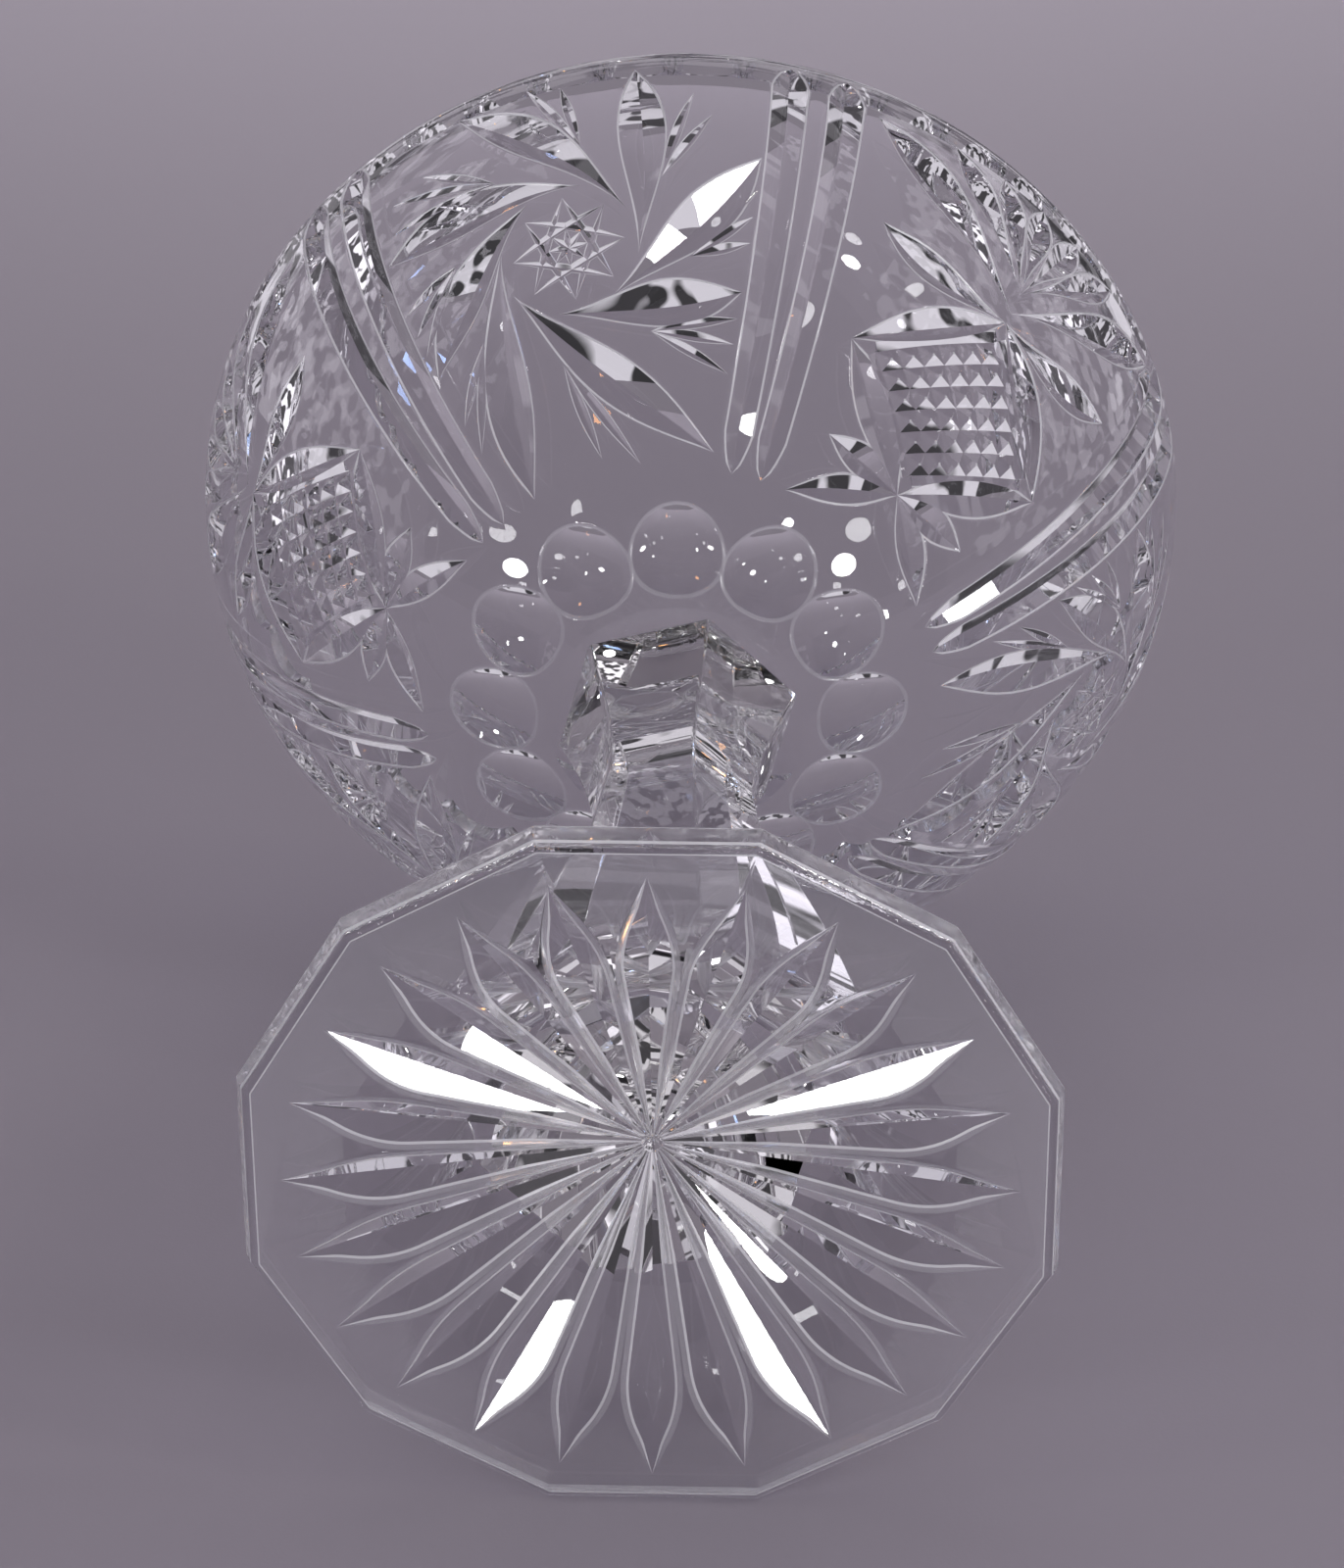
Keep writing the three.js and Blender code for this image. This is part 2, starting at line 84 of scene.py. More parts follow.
camera_data = bpy.data.cameras.new("photo_camera")
camera_data.lens = LENS_MM
camera_data.sensor_width = SENSOR_MM
camera = bpy.data.objects.new("photo_camera", camera_data)
camera.matrix_world = look(CAMERA_PLACE, CAMERA_AIM, PICTURE_UP)
bpy.context.scene.collection.objects.link(camera)
bpy.context.scene.camera = camera
print("camera", round((CAMERA_PLACE - CAMERA_AIM).length, 3), "m from the stem")

# %% [markdown]
# All sizes are in millimetres until a mesh is made. Heights come from the frame, so that the
# pieces meet where the solids meet. Radii are those of the true curves and corners.

# %% Sizes
MM = 0.001
FOOT_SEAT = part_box("foot")[1].z / MM
STEM_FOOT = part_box("stem")[0].z / MM
STEM_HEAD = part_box("stem")[1].z / MM
BOWL_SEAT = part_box("bowl")[0].z / MM
RIM_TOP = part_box("bowl")[1].z / MM

BOWL_RADIUS = 81.34
RIM_RADIUS = 79.1
RIM_RISE = 9.0  # from the widest place up to the rim
BOWL_FULLNESS = 1.83  # 2 would be an ellipse, less is more pointed below
RIM_WALL = 4.6
FLOOR_THICKNESS = 9.0
SEAT_RADIUS = 20.5
STEM_TOP_RADIUS = 19.4
STEM_BASE_RADIUS = 26.0
FIRST_CORNER = math.radians(15)  # corners of the foot and middles of the panels count from here
STEM_CORNER = FIRST_CORNER + math.radians(30)  # the stem's corners stand between the panels
print("stem from", round(STEM_FOOT, 2), "to", round(STEM_HEAD, 2), "mm, rim at", round(RIM_TOP, 2))

# %% [markdown]
# The bowl's section
#
# A bowl like this is pressed or blown into a mould, so its wall is one smooth curve turned round
# the axis. A few formulas describe it better than a drawn spline: a nearly elliptical swell up to
# the widest ring, then a short stretch that closes a little to the rim. The cuts are laid out
# along the glass, so the curve is also measured by the length that a finger would run on it.

# %% Work out the outside of the bowl
SWELL_SAMPLES, CLOSING_SAMPLES = 900, 100
SWELL_HEIGHT_SHARE = 1 - math.cos(math.asin(SEAT_RADIUS / BOWL_RADIUS)) ** (2 / BOWL_FULLNESS)
BOWL_SWELL = (RIM_TOP - BOWL_SEAT - RIM_RISE) / (1 - SWELL_HEIGHT_SHARE)
BOWL_BASE = RIM_TOP - RIM_RISE - BOWL_SWELL


def swell_drop(angle):
    """How far below the widest ring the swelling curve runs, as a share of its whole height."""
    return np.clip(np.cos(angle), 0, 1) ** (2 / BOWL_FULLNESS)


swell = np.linspace(math.asin(SEAT_RADIUS / BOWL_RADIUS), math.pi / 2, SWELL_SAMPLES)
closing = np.linspace(0, 1, CLOSING_SAMPLES)[1:]
out_radius = np.r_[BOWL_RADIUS * np.sin(swell), BOWL_RADIUS - (BOWL_RADIUS - RIM_RADIUS) * closing**2]
out_height = np.r_[BOWL_BASE + BOWL_SWELL * (1 - swell_drop(swell)), RIM_TOP - RIM_RISE * (1 - closing)]
out_length = np.r_[0, np.cumsum(np.hypot(np.diff(out_radius), np.diff(out_height)))]
WALL = out_length[-1]
UNIT = WALL / 100  # the cuts are laid out in hundredths of the wall's length
print("the wall is", round(WALL, 1), "mm long from the seat to the rim")

# %% [markdown]
# A place on the bowl is given the way a cutter marks it out: how far to the right of the panel's
# middle line, how far up from the seat, and how far above or below the surface.

# %% Find places on the bowl
out_slope = np.gradient(out_radius, out_length), np.gradient(out_height, out_length)


def on_bowl(middle, flat, lift):
    """Points in space for pattern points (n by 2, in units of the wall) of one panel."""
    x, y = flat[..., 0] * UNIT, np.clip(flat[..., 1] * UNIT, 0, WALL)
    radius, height = np.interp(y, out_length, out_radius), np.interp(y, out_length, out_height)
    outward, upward = (np.interp(y, out_length, slope) for slope in out_slope)
    turn = middle + x / radius
    radius = radius + upward * lift
    return np.stack([radius * np.cos(turn), radius * np.sin(turn), height - outward * lift], -1)


# %% [markdown]
# Blanks
#
# Each piece starts as a blank without cuts: rings of points that run from a point on the axis,
# round the section, back to a point on the axis. Rings of points keep the faces in neat rows,
# which a smooth glass needs, because it shows every crease. Faces that will have a finish of their
# own get their slot at once: those joined to the next piece, the rubbed and the softer part of the
# lips of the cuts, the ground edge of the foot, and the face that it stands on.

# %% Make a closed mesh from rings
SLOT_NAMES = "glass_slot", "joint_slot", "lip_slot", "soft_slot", "band_slot", "worn_slot"
GLASS_SLOT, JOINT_SLOT, LIP_SLOT, SOFT_SLOT, BAND_SLOT, WORN_SLOT = range(len(SLOT_NAMES))


def mesh_from(name, points, faces, slots=None):
    """A new object with that mesh, from points in mm. slots has one number for each face."""
    mesh = bpy.data.meshes.new(name)
    mesh.from_pydata([tuple(p) for p in np.asarray(points) * MM], [], faces)
    if slots is not None:
        for slot_name in SLOT_NAMES:
            mesh.materials.append(bpy.data.materials.get(slot_name) or bpy.data.materials.new(slot_name))
        mesh.polygons.foreach_set("material_index", np.array(slots, np.int32))
    thing = bpy.data.objects.new(name, mesh)
    bpy.context.scene.collection.objects.link(thing)
    return thing


def ring_faces(count, rings, first=0):
    """Quads that join each ring of count points to the next one."""
    faces = []
    for low in range(first, first + (rings - 1) * count, count):
        faces += [(low + i, low + (i + 1) % count, low + count + (i + 1) % count, low + count + i)
                  for i in range(count)]
    return faces


def closed_rings(first, rings, last):
    """Points and faces of a closed shape through rings of equal count between two points."""
    count, tip = len(rings[0]), 1 + len(rings) * len(rings[0])
    points = np.vstack([[first], *rings, [last]])
    bottom = [(0, 1 + (i + 1) % count, 1 + i) for i in range(count)]
    top = [(tip - count + i, tip - count + (i + 1) % count, tip) for i in range(count)]
    return points, bottom + ring_faces(count, len(rings), 1) + top


def ringed(name, first, rings, last, joints=()):
    """A piece of glass through rings between two points on the axis. joints says which of its
    ends, 'first' or 'last', is a face that meets another piece."""
    points, faces = closed_rings(first, rings, last)
    slots, count = np.full(len(faces), GLASS_SLOT), len(rings[0])
    slots[:count] = JOINT_SLOT if "first" in joints else GLASS_SLOT
    slots[-count:] = JOINT_SLOT if "last" in joints else GLASS_SLOT
    return mesh_from(name, points, faces, slots)


def circle(radius, height, angles):
    """A ring of points; radius is one number or one for each angle."""
    return np.stack([radius * np.cos(angles), radius * np.sin(angles), height + 0 * angles], -1)


def polygon_radius(angles, sides, corner):
    """The radius of a regular polygon's edge in each direction."""
    pitch = 2 * math.pi / sides
    from_corner = (angles - STEM_CORNER) % pitch
    return corner * math.cos(pitch / 2) / np.cos(from_corner - pitch / 2)


# %% [markdown]
# The bowl's blank has six columns of faces for each of the 42 scallops, so that a scallop's tip
# falls on a column's edge. The seat carries the outline of the stem's six-sided head, because
# only the glass inside it is joined to the stem.

# %% Make the bowl's blank
SCALLOPS = 42
BOWL_COLUMNS = 6 * SCALLOPS
OUTSIDE_RINGS = 64
INSIDE_RINGS = 44

bowl_angles = STEM_CORNER + np.arange(BOWL_COLUMNS) * 2 * math.pi / BOWL_COLUMNS


def inside_ring(angle):
    radius = (BOWL_RADIUS - RIM_WALL) * math.sin(angle)
    return radius, BOWL_BASE + BOWL_SWELL - (BOWL_SWELL - FLOOR_THICKNESS) * swell_drop(angle)


def make_bowl_blank():
    rings = [circle(polygon_radius(bowl_angles, 6, STEM_TOP_RADIUS), BOWL_SEAT, bowl_angles)]
    for y in np.linspace(0, WALL, OUTSIDE_RINGS + 1):
        height = np.interp(y, out_length, out_height)
        rings.append(circle(np.interp(y, out_length, out_radius), height, bowl_angles))
    rings.append(circle(RIM_RADIUS - RIM_WALL, RIM_TOP, bowl_angles))
    for angle in np.linspace(math.pi / 2, 0, INSIDE_RINGS + 1)[:-1]:
        radius, height = inside_ring(angle)
        rings.append(circle(radius, height, bowl_angles))
    floor = (0, 0, inside_ring(0)[1])
    return ringed("bowl_glass", (0, 0, BOWL_SEAT), rings, floor, joints=("first",))


bowl = make_bowl_blank()
print("bowl blank:", len(bowl.data.polygons), "faces")

# %% [markdown]
# Grooves
#
# The ornament is cut with a mitre wheel, a stone disc whose edge is turned to a V. Its groove is
# deepest where it is widest and runs out to a point where the wheel lifts, and its two flanks
# meet in a sharp line. Polishing rounds the two edges above, the lips, and each lip then draws a
# thin bright line beside the cut. So one description makes them all: a line on the surface, a
# width at each place along it, and the roundness of the lips. The depth follows from the angle of
# the wheel. Modelling the cuts as real geometry, not as a bump, is what lets the glass bend light
# the way cut glass does. Years of use rub a lip most where it turns down into the flank, so the
# rows of faces there are kept apart from the softer rest of the lip.
#
# A lip runs out over the surface at a slope too small to be seen as an edge, because two surfaces
# that only just touch would leave ragged scraps.

# %% Describe a groove
FLANK_SLOPE = math.radians(30)
LIP_END_SLOPE = math.radians(8)
LIP_STEPS = 3
LIP_ROUND = 1.3  # radius in mm of the lips of the large cuts
FINE_ROUND = 0.6
LIP_SHARE = 1.6  # the lips' radius is at most this many times half the groove's width
LEAST_HALF = 0.03  # half the width in mm at a groove's pointed ends
OVERRUN = 0.12  # height above the surface at which a lip's shape ends
CLEARANCE = 1.0  # height to which a cutting shape stands above the surface
GROOVE_STEPS = 24
FINE_STEPS = 10
BOTTOM_POINT = LIP_STEPS + 4  # the bottom's number among the points round a groove's section


def lip(half, slope, rounding):
    """Distances from the middle, and heights, along a lip from its outer end in to the flank.
    half and rounding are arrays with one value for each ring."""
    run = rounding * math.tan(slope / 2)
    turns = np.linspace(LIP_END_SLOPE, slope, LIP_STEPS + 1)[:, None]
    aside = half + run - rounding * np.sin(turns)
    height = -rounding * (1 - np.cos(turns))
    edge = aside[:1] + (OVERRUN - height[:1]) / math.tan(LIP_END_SLOPE)
    level = np.ones_like(edge)
    return np.vstack([edge, edge, aside]), np.vstack([CLEARANCE * level, OVERRUN * level, height])


def row_slots(count, rubbed):
    """Slots of the rows of faces round a groove's section. Row r joins point r to the next."""
    rows, near, far = np.full(count, GLASS_SLOT), BOTTOM_POINT - 1, BOTTOM_POINT + 1
    rows[near - LIP_STEPS : near] = rows[far : far + LIP_STEPS] = SOFT_SLOT
    rows[near - rubbed : near] = rows[far : far + rubbed] = LIP_SLOT
    return rows.tolist()


def groove(line, width, place, steps=GROOVE_STEPS, rounding=LIP_ROUND, rubbed=2):
    """Points, faces and slots of the shape that cuts a V along line(t), width(t) wide, t from 0
    to 1. place(points, lift) puts pattern points into space. rounding is the lips' radius in mm,
    and rubbed counts the rows of faces beside each flank that are worn the most."""
    t = np.linspace(0, 1, steps + 1)
    centre = line(t)
    ahead = np.gradient(centre, axis=0)
    ahead /= np.linalg.norm(ahead, axis=1, keepdims=True)
    left = np.stack([-ahead[:, 1], ahead[:, 0]], -1)
    half = np.maximum(width(t) * UNIT / 2, LEAST_HALF)
    aside, height = lip(half, FLANK_SLOPE, np.minimum(rounding, LIP_SHARE * half))
    bottom = np.zeros_like(half)[None], -half[None] * math.tan(FLANK_SLOPE)
    across = np.vstack([aside[:1], -aside, bottom[0], aside[:0:-1]]).T
    up = np.vstack([height[:1], height, bottom[1], height[:0:-1]]).T
    points = place(centre[:, None] + left[:, None] * across[..., None] / UNIT, up)
    count = across.shape[1]
    last = steps * count
    caps = [tuple(range(count - 1, -1, -1)), tuple(range(last, last + count))]
    slots = [GLASS_SLOT] * len(caps) + row_slots(count, rubbed) * steps
    return points.reshape(-1, 3), caps + ring_faces(count, steps + 1), slots


def bowed(start, end, bow=0.0):
    """A line between two pattern points that bows sideways in its middle."""
    start, end = np.array(start, float), np.array(end, float)
    run = (end - start) / np.linalg.norm(end - start)
    aside = np.array([-run[1], run[0]])
    return lambda t: start + np.outer(t, end - start) + np.outer(4 * bow * t * (1 - t), aside)


def leaf(width, widest=0.5):
    """A width that swells from a point and closes to a point, widest at that share of the way."""
    skew = math.log(0.5) / math.log(widest)
    return lambda t: width * np.sin(math.pi * np.clip(t, 0, 1) ** skew)


def strip(low, high, ending=0.08):
    """A width that changes evenly from low to high, with both ends quickly rounded off."""
    return lambda t: (low + (high - low) * t) * np.sqrt(np.clip(np.minimum(t, 1 - t) / ending, 0, 1))


# %% [markdown]
# The panels
#
# Six panels stand round the bowl, three with a pinwheel and three with a diamond and a fan, in
# turn. Two long grooves part each panel from the next. Everything is laid out once for a panel and
# repeated round the bowl by its angle, as the cutter repeats it from a marked wheel.

# %% Lay out the long grooves between panels
PANELS = 6
panel_pitch = 2 * math.pi / PANELS
panel_middles = [FIRST_CORNER + i * panel_pitch for i in range(PANELS)]
cuts = []

DIVIDER_ANGLE = math.radians(3.3)
DIVIDER_BOTTOM, DIVIDER_TOP = 20.5, 93.5
DIVIDER_WIDTHS = 4.2, 6.0
DIVIDER_STEPS = 48

for middle in panel_middles:
    for side in (-1, 1):
        place = partial(on_bowl, middle + panel_pitch / 2 + side * DIVIDER_ANGLE)
        line = bowed((0, DIVIDER_BOTTOM), (0, DIVIDER_TOP))
        cuts.append(groove(line, strip(*DIVIDER_WIDTHS), place, DIVIDER_STEPS))
print(len(cuts), "long grooves")

# %% [markdown]
# A pinwheel is eight curved blades that leave a small hub at a slant, with three thin splits
# between each two of them. The hub holds a fine star: eight lines that each join a point to the third one
# along, and a smaller star of rays inside. Blades and splits that point sideways are cut shorter,
# so that they stay clear of the long grooves.

# %% Lay out the pinwheels
PINWHEEL_CENTRE = 55.6
BLADES = 8
PINWHEEL_RADIUS = 36.5
HUB_RADIUS = 10.5
BLADE_TURN = math.radians(86)  # from a blade's root round to its tip
BLADE_LEAN = math.radians(19)  # of the first blade's tip from upright
BLADE_WIDTH, BLADE_WIDEST = 7.4, 0.6
BLADE_BOW = -1.6
REACH_STEP = 0.25
SPLIT_TIPS = ((math.radians(9.5), 31.5), (math.radians(18), 34.5), (math.radians(27), 32.5))
SPLIT_ROOT_TURN, SPLIT_ROOT_RADIUS = math.radians(37), 18.0
SPLIT_WIDTH = 1.7
STAR_POINT_RADIUS = 8.5
STAR_LINE_WIDTH = 1.3
STAR_STRIDE = 3
STAR_CORE_RADIUS = 3.2


def around_pinwheel(turn, radius):
    """A pattern point at that distance from the pinwheel's middle, turned clockwise from up."""
    return np.array([radius * math.sin(turn), PINWHEEL_CENTRE + radius * math.cos(turn)])


def blade_reach(turn):
    """The longest blade, up to the pinwheel's own radius, that stays inside the long grooves."""
    radius = PINWHEEL_RADIUS
    while radius > HUB_RADIUS:
        x, y = around_pinwheel(turn, radius)
        wall = np.interp(y * UNIT, out_length, out_radius) / UNIT
        if abs(x) <= wall * (panel_pitch / 2 - DIVIDER_ANGLE) - DIVIDER_WIDTHS[1] / 2:
            break
        radius -= REACH_STEP
    return radius


def fine_cut(ends, width, place):
    return groove(bowed(*ends), leaf(width), place, FINE_STEPS, FINE_ROUND)


def pinwheel_cuts(middle):
    place = partial(on_bowl, middle)
    made = []
    for i in range(BLADES):
        tip_turn = BLADE_LEAN + i * 2 * math.pi / BLADES
        root = around_pinwheel(tip_turn + BLADE_TURN, HUB_RADIUS)
        tip = around_pinwheel(tip_turn, blade_reach(tip_turn))
        made.append(groove(bowed(root, tip, BLADE_BOW), leaf(BLADE_WIDTH, BLADE_WIDEST), place))
        root = around_pinwheel(tip_turn + SPLIT_ROOT_TURN, SPLIT_ROOT_RADIUS)
        for turn, radius in SPLIT_TIPS:
            tip = around_pinwheel(tip_turn + turn, min(radius, blade_reach(tip_turn + turn)))
            made.append(fine_cut((root, tip), SPLIT_WIDTH, place))
        points = [(i + k) * 2 * math.pi / BLADES for k in (0, STAR_STRIDE, BLADES // 2)]
        ends = [around_pinwheel(turn, STAR_POINT_RADIUS) for turn in points[:2]]
        made.append(fine_cut(ends, STAR_LINE_WIDTH, place))
        if i < BLADES // 2:
            ends = [around_pinwheel(turn, STAR_CORE_RADIUS) for turn in points[::2]]
            made.append(fine_cut(ends, STAR_LINE_WIDTH, place))
    return made


for middle in panel_middles[::2]:
    cuts += pinwheel_cuts(middle)
print(len(cuts), "cuts with the pinwheels")

# %% [markdown]
# The diamond is a field of small pyramids, left standing between two sets of crossing grooves, in
# a frame of four wide ones. It throws the liveliest sparkle, because each pyramid shows four tiny
# tilted windows.

# %% Lay out the diamonds
DIAMOND_CENTRE = 45.0
DIAMOND_HALF_WIDTH, DIAMOND_HALF_HEIGHT = 19.5, 16.5
DIAMOND_FRAME_WIDTH = 6.2
DIAMOND_MARGIN = 0.11  # share of a side that the frame's own half width takes
DIAMOND_CELLS = 6
HATCH_ROUND, HATCH_STEPS = 0.9, 8


def diamond_cuts(middle):
    place = partial(on_bowl, middle)
    half = np.array([DIAMOND_HALF_WIDTH, DIAMOND_HALF_HEIGHT])
    corners = [np.array([0, DIAMOND_CENTRE]) + half * way for way in ((-1, 0), (0, -1), (1, 0), (0, 1))]
    made = []
    for i in range(4):
        made.append(groove(bowed(corners[i], corners[(i + 1) % 4]), leaf(DIAMOND_FRAME_WIDTH), place))
    shares = np.linspace(DIAMOND_MARGIN, 1 - DIAMOND_MARGIN, DIAMOND_CELLS + 1)
    pitch = np.linalg.norm(half) * (shares[1] - shares[0])
    even = lambda t: pitch + 0 * t
    for share in shares:
        for a, b, c, d in ((0, 1, 3, 2), (1, 2, 0, 3)):
            start, end = (corners[p] + (corners[q] - corners[p]) * share for p, q in ((a, b), (c, d)))
            inset = (end - start) * DIAMOND_MARGIN
            start, end = start + inset, end - inset
            made.append(groove(bowed(start, end), even, place, HATCH_STEPS, HATCH_ROUND))
    return made


for middle in panel_middles[1::2]:
    cuts += diamond_cuts(middle)
print(len(cuts), "cuts with the diamonds")

# %% [markdown]
# Above the diamond a fan of five leaves opens between two broad arms, with a curved wing under
# each arm. Four short leaves spread below the diamond.

# %% Lay out the fans
FAN_CENTRE = 63.5
FAN_TOP = 88.0
FAN_LEAF_TIPS = (-17, -8, 0, 8, 17)
FAN_LEAF_WIDTH, FAN_LEAF_WIDEST = 5.2, 0.7
FAN_LEAF_LIFT, FAN_WING_DROP = 4, 2  # how far above and below the fan's centre they start
FAN_ARM_TIP, FAN_ARM_WIDTH, FAN_ARM_WIDEST = (30, 86), 7.2, 0.65
FAN_WING_TIP, FAN_WING_WIDTH, FAN_WING_WIDEST, FAN_WING_BOW = (24, 65), 5.4, 0.6, 2.0
TAIL_TIPS, TAIL_WIDTH, TAIL_STEPS = ((14, 30.5), (14, 20.5)), 5.0, 16


def fan_cuts(middle):
    place = partial(on_bowl, middle)
    made = []
    for x in FAN_LEAF_TIPS:
        line = bowed((0, FAN_CENTRE + FAN_LEAF_LIFT), (x, FAN_TOP))
        made.append(groove(line, leaf(FAN_LEAF_WIDTH, FAN_LEAF_WIDEST), place))
    for side in (-1, 1):
        arm = (side * FAN_ARM_TIP[0], FAN_ARM_TIP[1])
        wing = (side * FAN_WING_TIP[0], FAN_WING_TIP[1])
        made.append(groove(bowed((0, FAN_CENTRE), arm), leaf(FAN_ARM_WIDTH, FAN_ARM_WIDEST), place))
        line = bowed((0, FAN_CENTRE - FAN_WING_DROP), wing, -side * FAN_WING_BOW)
        made.append(groove(line, leaf(FAN_WING_WIDTH, FAN_WING_WIDEST), place))
        for x, y in TAIL_TIPS:
            start = (0, DIAMOND_CENTRE - DIAMOND_HALF_HEIGHT)
            made.append(groove(bowed(start, (side * x, y)), leaf(TAIL_WIDTH), place, TAIL_STEPS))
    return made


for middle in panel_middles[1::2]:
    cuts += fan_cuts(middle)
print(len(cuts), "cuts with the fans")

# %% [markdown]
# Two cuts are round. Thumbprints are shallow hollows in a ring at the bottom of the bowl, ground
# on the edge of a round stone, with lips as soft as those of the grooves. Scallops are bites out
# of the rim, made by a stone laid across the wall. Their edges are rounded too, so the stone gets
# wider where it comes out of the wall on either side.

# %% Lay out the round cuts
THUMBPRINTS = 12
THUMBPRINT_WIDTH, THUMBPRINT_DEPTH, THUMBPRINT_HEIGHT = 15.0, 2.1, 8.6
THUMBPRINT_ROUND = 1.6
SCALLOP_DEPTH, SCALLOP_LAND = 2.2, 0.7
SCALLOP_EASING = 0.5
# how far out from the rim's edge each ring of the stone is, and its share of the easing
STONE_STATIONS = ((9, 1), (1, 1), (0.7, 0.13), (0.5, 0), (-3.5, 0), (-3.7, 0.13), (-4, 1), (-14, 1))
ROUND_STEPS = 60
DISH_RINGS = 14


def radius_through(half, depth):
    """The radius of the arc that is 2 * half wide and depth deep."""
    return (half**2 + depth**2) / (2 * depth)


def dish(spot, width, depth, place, rounding):
    """Points, faces and slots of the shape that cuts a round hollow about a pattern point."""
    ball = radius_through(width / 2, depth)
    slope = math.asin(width / 2 / ball)
    aside, height = lip(np.array([width / 2]), slope, rounding)
    hollow = np.linspace(0, aside[-1, 0], DISH_RINGS)[1:-1]
    distances = np.r_[hollow, aside[::-1, 0]]
    lifts = np.r_[ball - depth - np.sqrt(ball**2 - hollow**2), height[::-1, 0]]
    turns = np.arange(ROUND_STEPS) * 2 * math.pi / ROUND_STEPS
    ways = np.stack([np.cos(turns), np.sin(turns)], -1)
    rings = [place(spot + ways * far / UNIT, lift) for far, lift in zip(distances, lifts)]
    ends = [place(np.array(spot, float), lift) for lift in (-depth, CLEARANCE)]
    points, faces = closed_rings(ends[0], rings, ends[1])
    slots = np.full(len(faces), GLASS_SLOT)
    slots[ROUND_STEPS * (len(hollow) + 1) : ROUND_STEPS * (len(hollow) + LIP_STEPS + 1)] = SOFT_SLOT
    return points, faces, slots.tolist()


def stone(middle, direction, radius):
    """Points, faces and slots of a level round stone through middle, wider towards its ends."""
    turns = np.arange(ROUND_STEPS) * 2 * math.pi / ROUND_STEPS
    along = np.array([math.cos(direction), math.sin(direction), 0])
    across = np.array([-math.sin(direction), math.cos(direction), 0])
    wheel = np.outer(np.cos(turns), across) + np.outer(np.sin(turns), (0, 0, 1))
    rings = [middle + along * far + wheel * (radius + SCALLOP_EASING * wider)
             for far, wider in reversed(STONE_STATIONS)]
    ends = [middle + along * STONE_STATIONS[i][0] for i in (-1, 0)]
    points, faces = closed_rings(ends[0], rings, ends[1])
    return points, faces, [GLASS_SLOT] * len(faces)


for i in range(THUMBPRINTS):
    place = partial(on_bowl, i * 2 * math.pi / THUMBPRINTS)
    cuts.append(dish((0, THUMBPRINT_HEIGHT), THUMBPRINT_WIDTH, THUMBPRINT_DEPTH, place, THUMBPRINT_ROUND))

scallop_half = (2 * math.pi * RIM_RADIUS / SCALLOPS - SCALLOP_LAND) / 2
stone_radius = radius_through(scallop_half, SCALLOP_DEPTH)
stone_turns = bowl_angles[0] + (np.arange(SCALLOPS) + 0.5) * 2 * math.pi / SCALLOPS
stone_middles = circle(RIM_RADIUS, RIM_TOP - SCALLOP_DEPTH + stone_radius, stone_turns)
for stone_middle, turn in zip(stone_middles, stone_turns):
    cuts.append(stone(stone_middle, turn, stone_radius))
print(len(cuts), "cuts in all")

# %% [markdown]
# Cutting
#
# Subtracting three hundred shapes one by one is slow, and a single mesh of overlapping shapes
# confuses the solver. So shapes that don't touch each other share a batch, found by comparing
# their boxes, and each batch is one Boolean modifier. The Manifold solver is the fast one, and it
# keeps a closed mesh closed.

# %% Cut a piece
def batches_of(shapes):
    """Sorts the shapes into batches in which no two boxes touch."""
    batches = []
    for points, faces, slots in shapes:
        low, high = points.min(0), points.max(0)
        for batch in batches:
            if all((low > b_high).any() or (high < b_low).any() for b_low, b_high, *_ in batch):
                batch.append((low, high, points, faces, slots))
                break
        else:
            batches.append([(low, high, points, faces, slots)])
    return batches


def cut(piece, shapes):
    """Subtracts the shapes from the piece for good."""
    cutters = []
    for batch in batches_of(shapes):
        points, faces, slots, start = [], [], [], 0
        for _, _, more, more_faces, more_slots in batch:
            points.append(more)
            faces += [tuple(start + i for i in face) for face in more_faces]
            slots += more_slots
            start += len(more)
        cutter = mesh_from("cutter", np.vstack(points), faces, slots)
        cutter.hide_render = True
        modifier = piece.modifiers.new("cut", "BOOLEAN")
        modifier.solver, modifier.operation, modifier.object = "MANIFOLD", "DIFFERENCE", cutter
        cutters.append(cutter)
    bpy.context.view_layer.update()
    seen = piece.evaluated_get(bpy.context.evaluated_depsgraph_get())
    finished = bpy.data.meshes.new_from_object(seen)
    piece.modifiers.clear()
    old, piece.data = piece.data, finished
    bpy.data.meshes.remove(old)
    for cutter in cutters:
        bpy.data.objects.remove(cutter)
    return len(cutters)


print("bowl cut in", cut(bowl, cuts), "batches:", len(bowl.data.polygons), "faces")

# %% [markdown]
# The stem
#
# The stem is pressed with six sides, waisted just below the bowl, and its sides are ground. Each
# side runs in one long flare down to the foot, whose top curves up to meet it. Its edges are eased
# by polishing. Rings of a rounded hexagon give that directly.

# %% Make the stem
STEM_WAIST_RADIUS = 12.8
STEM_WAIST_DROP = 25.6
STEM_TOP_SWEEP, STEM_SKIRT_SWEEP = 1.5, 1.05
STEM_RINGS = 90
STEM_EASING = 0.7
EDGE_STEPS = 8


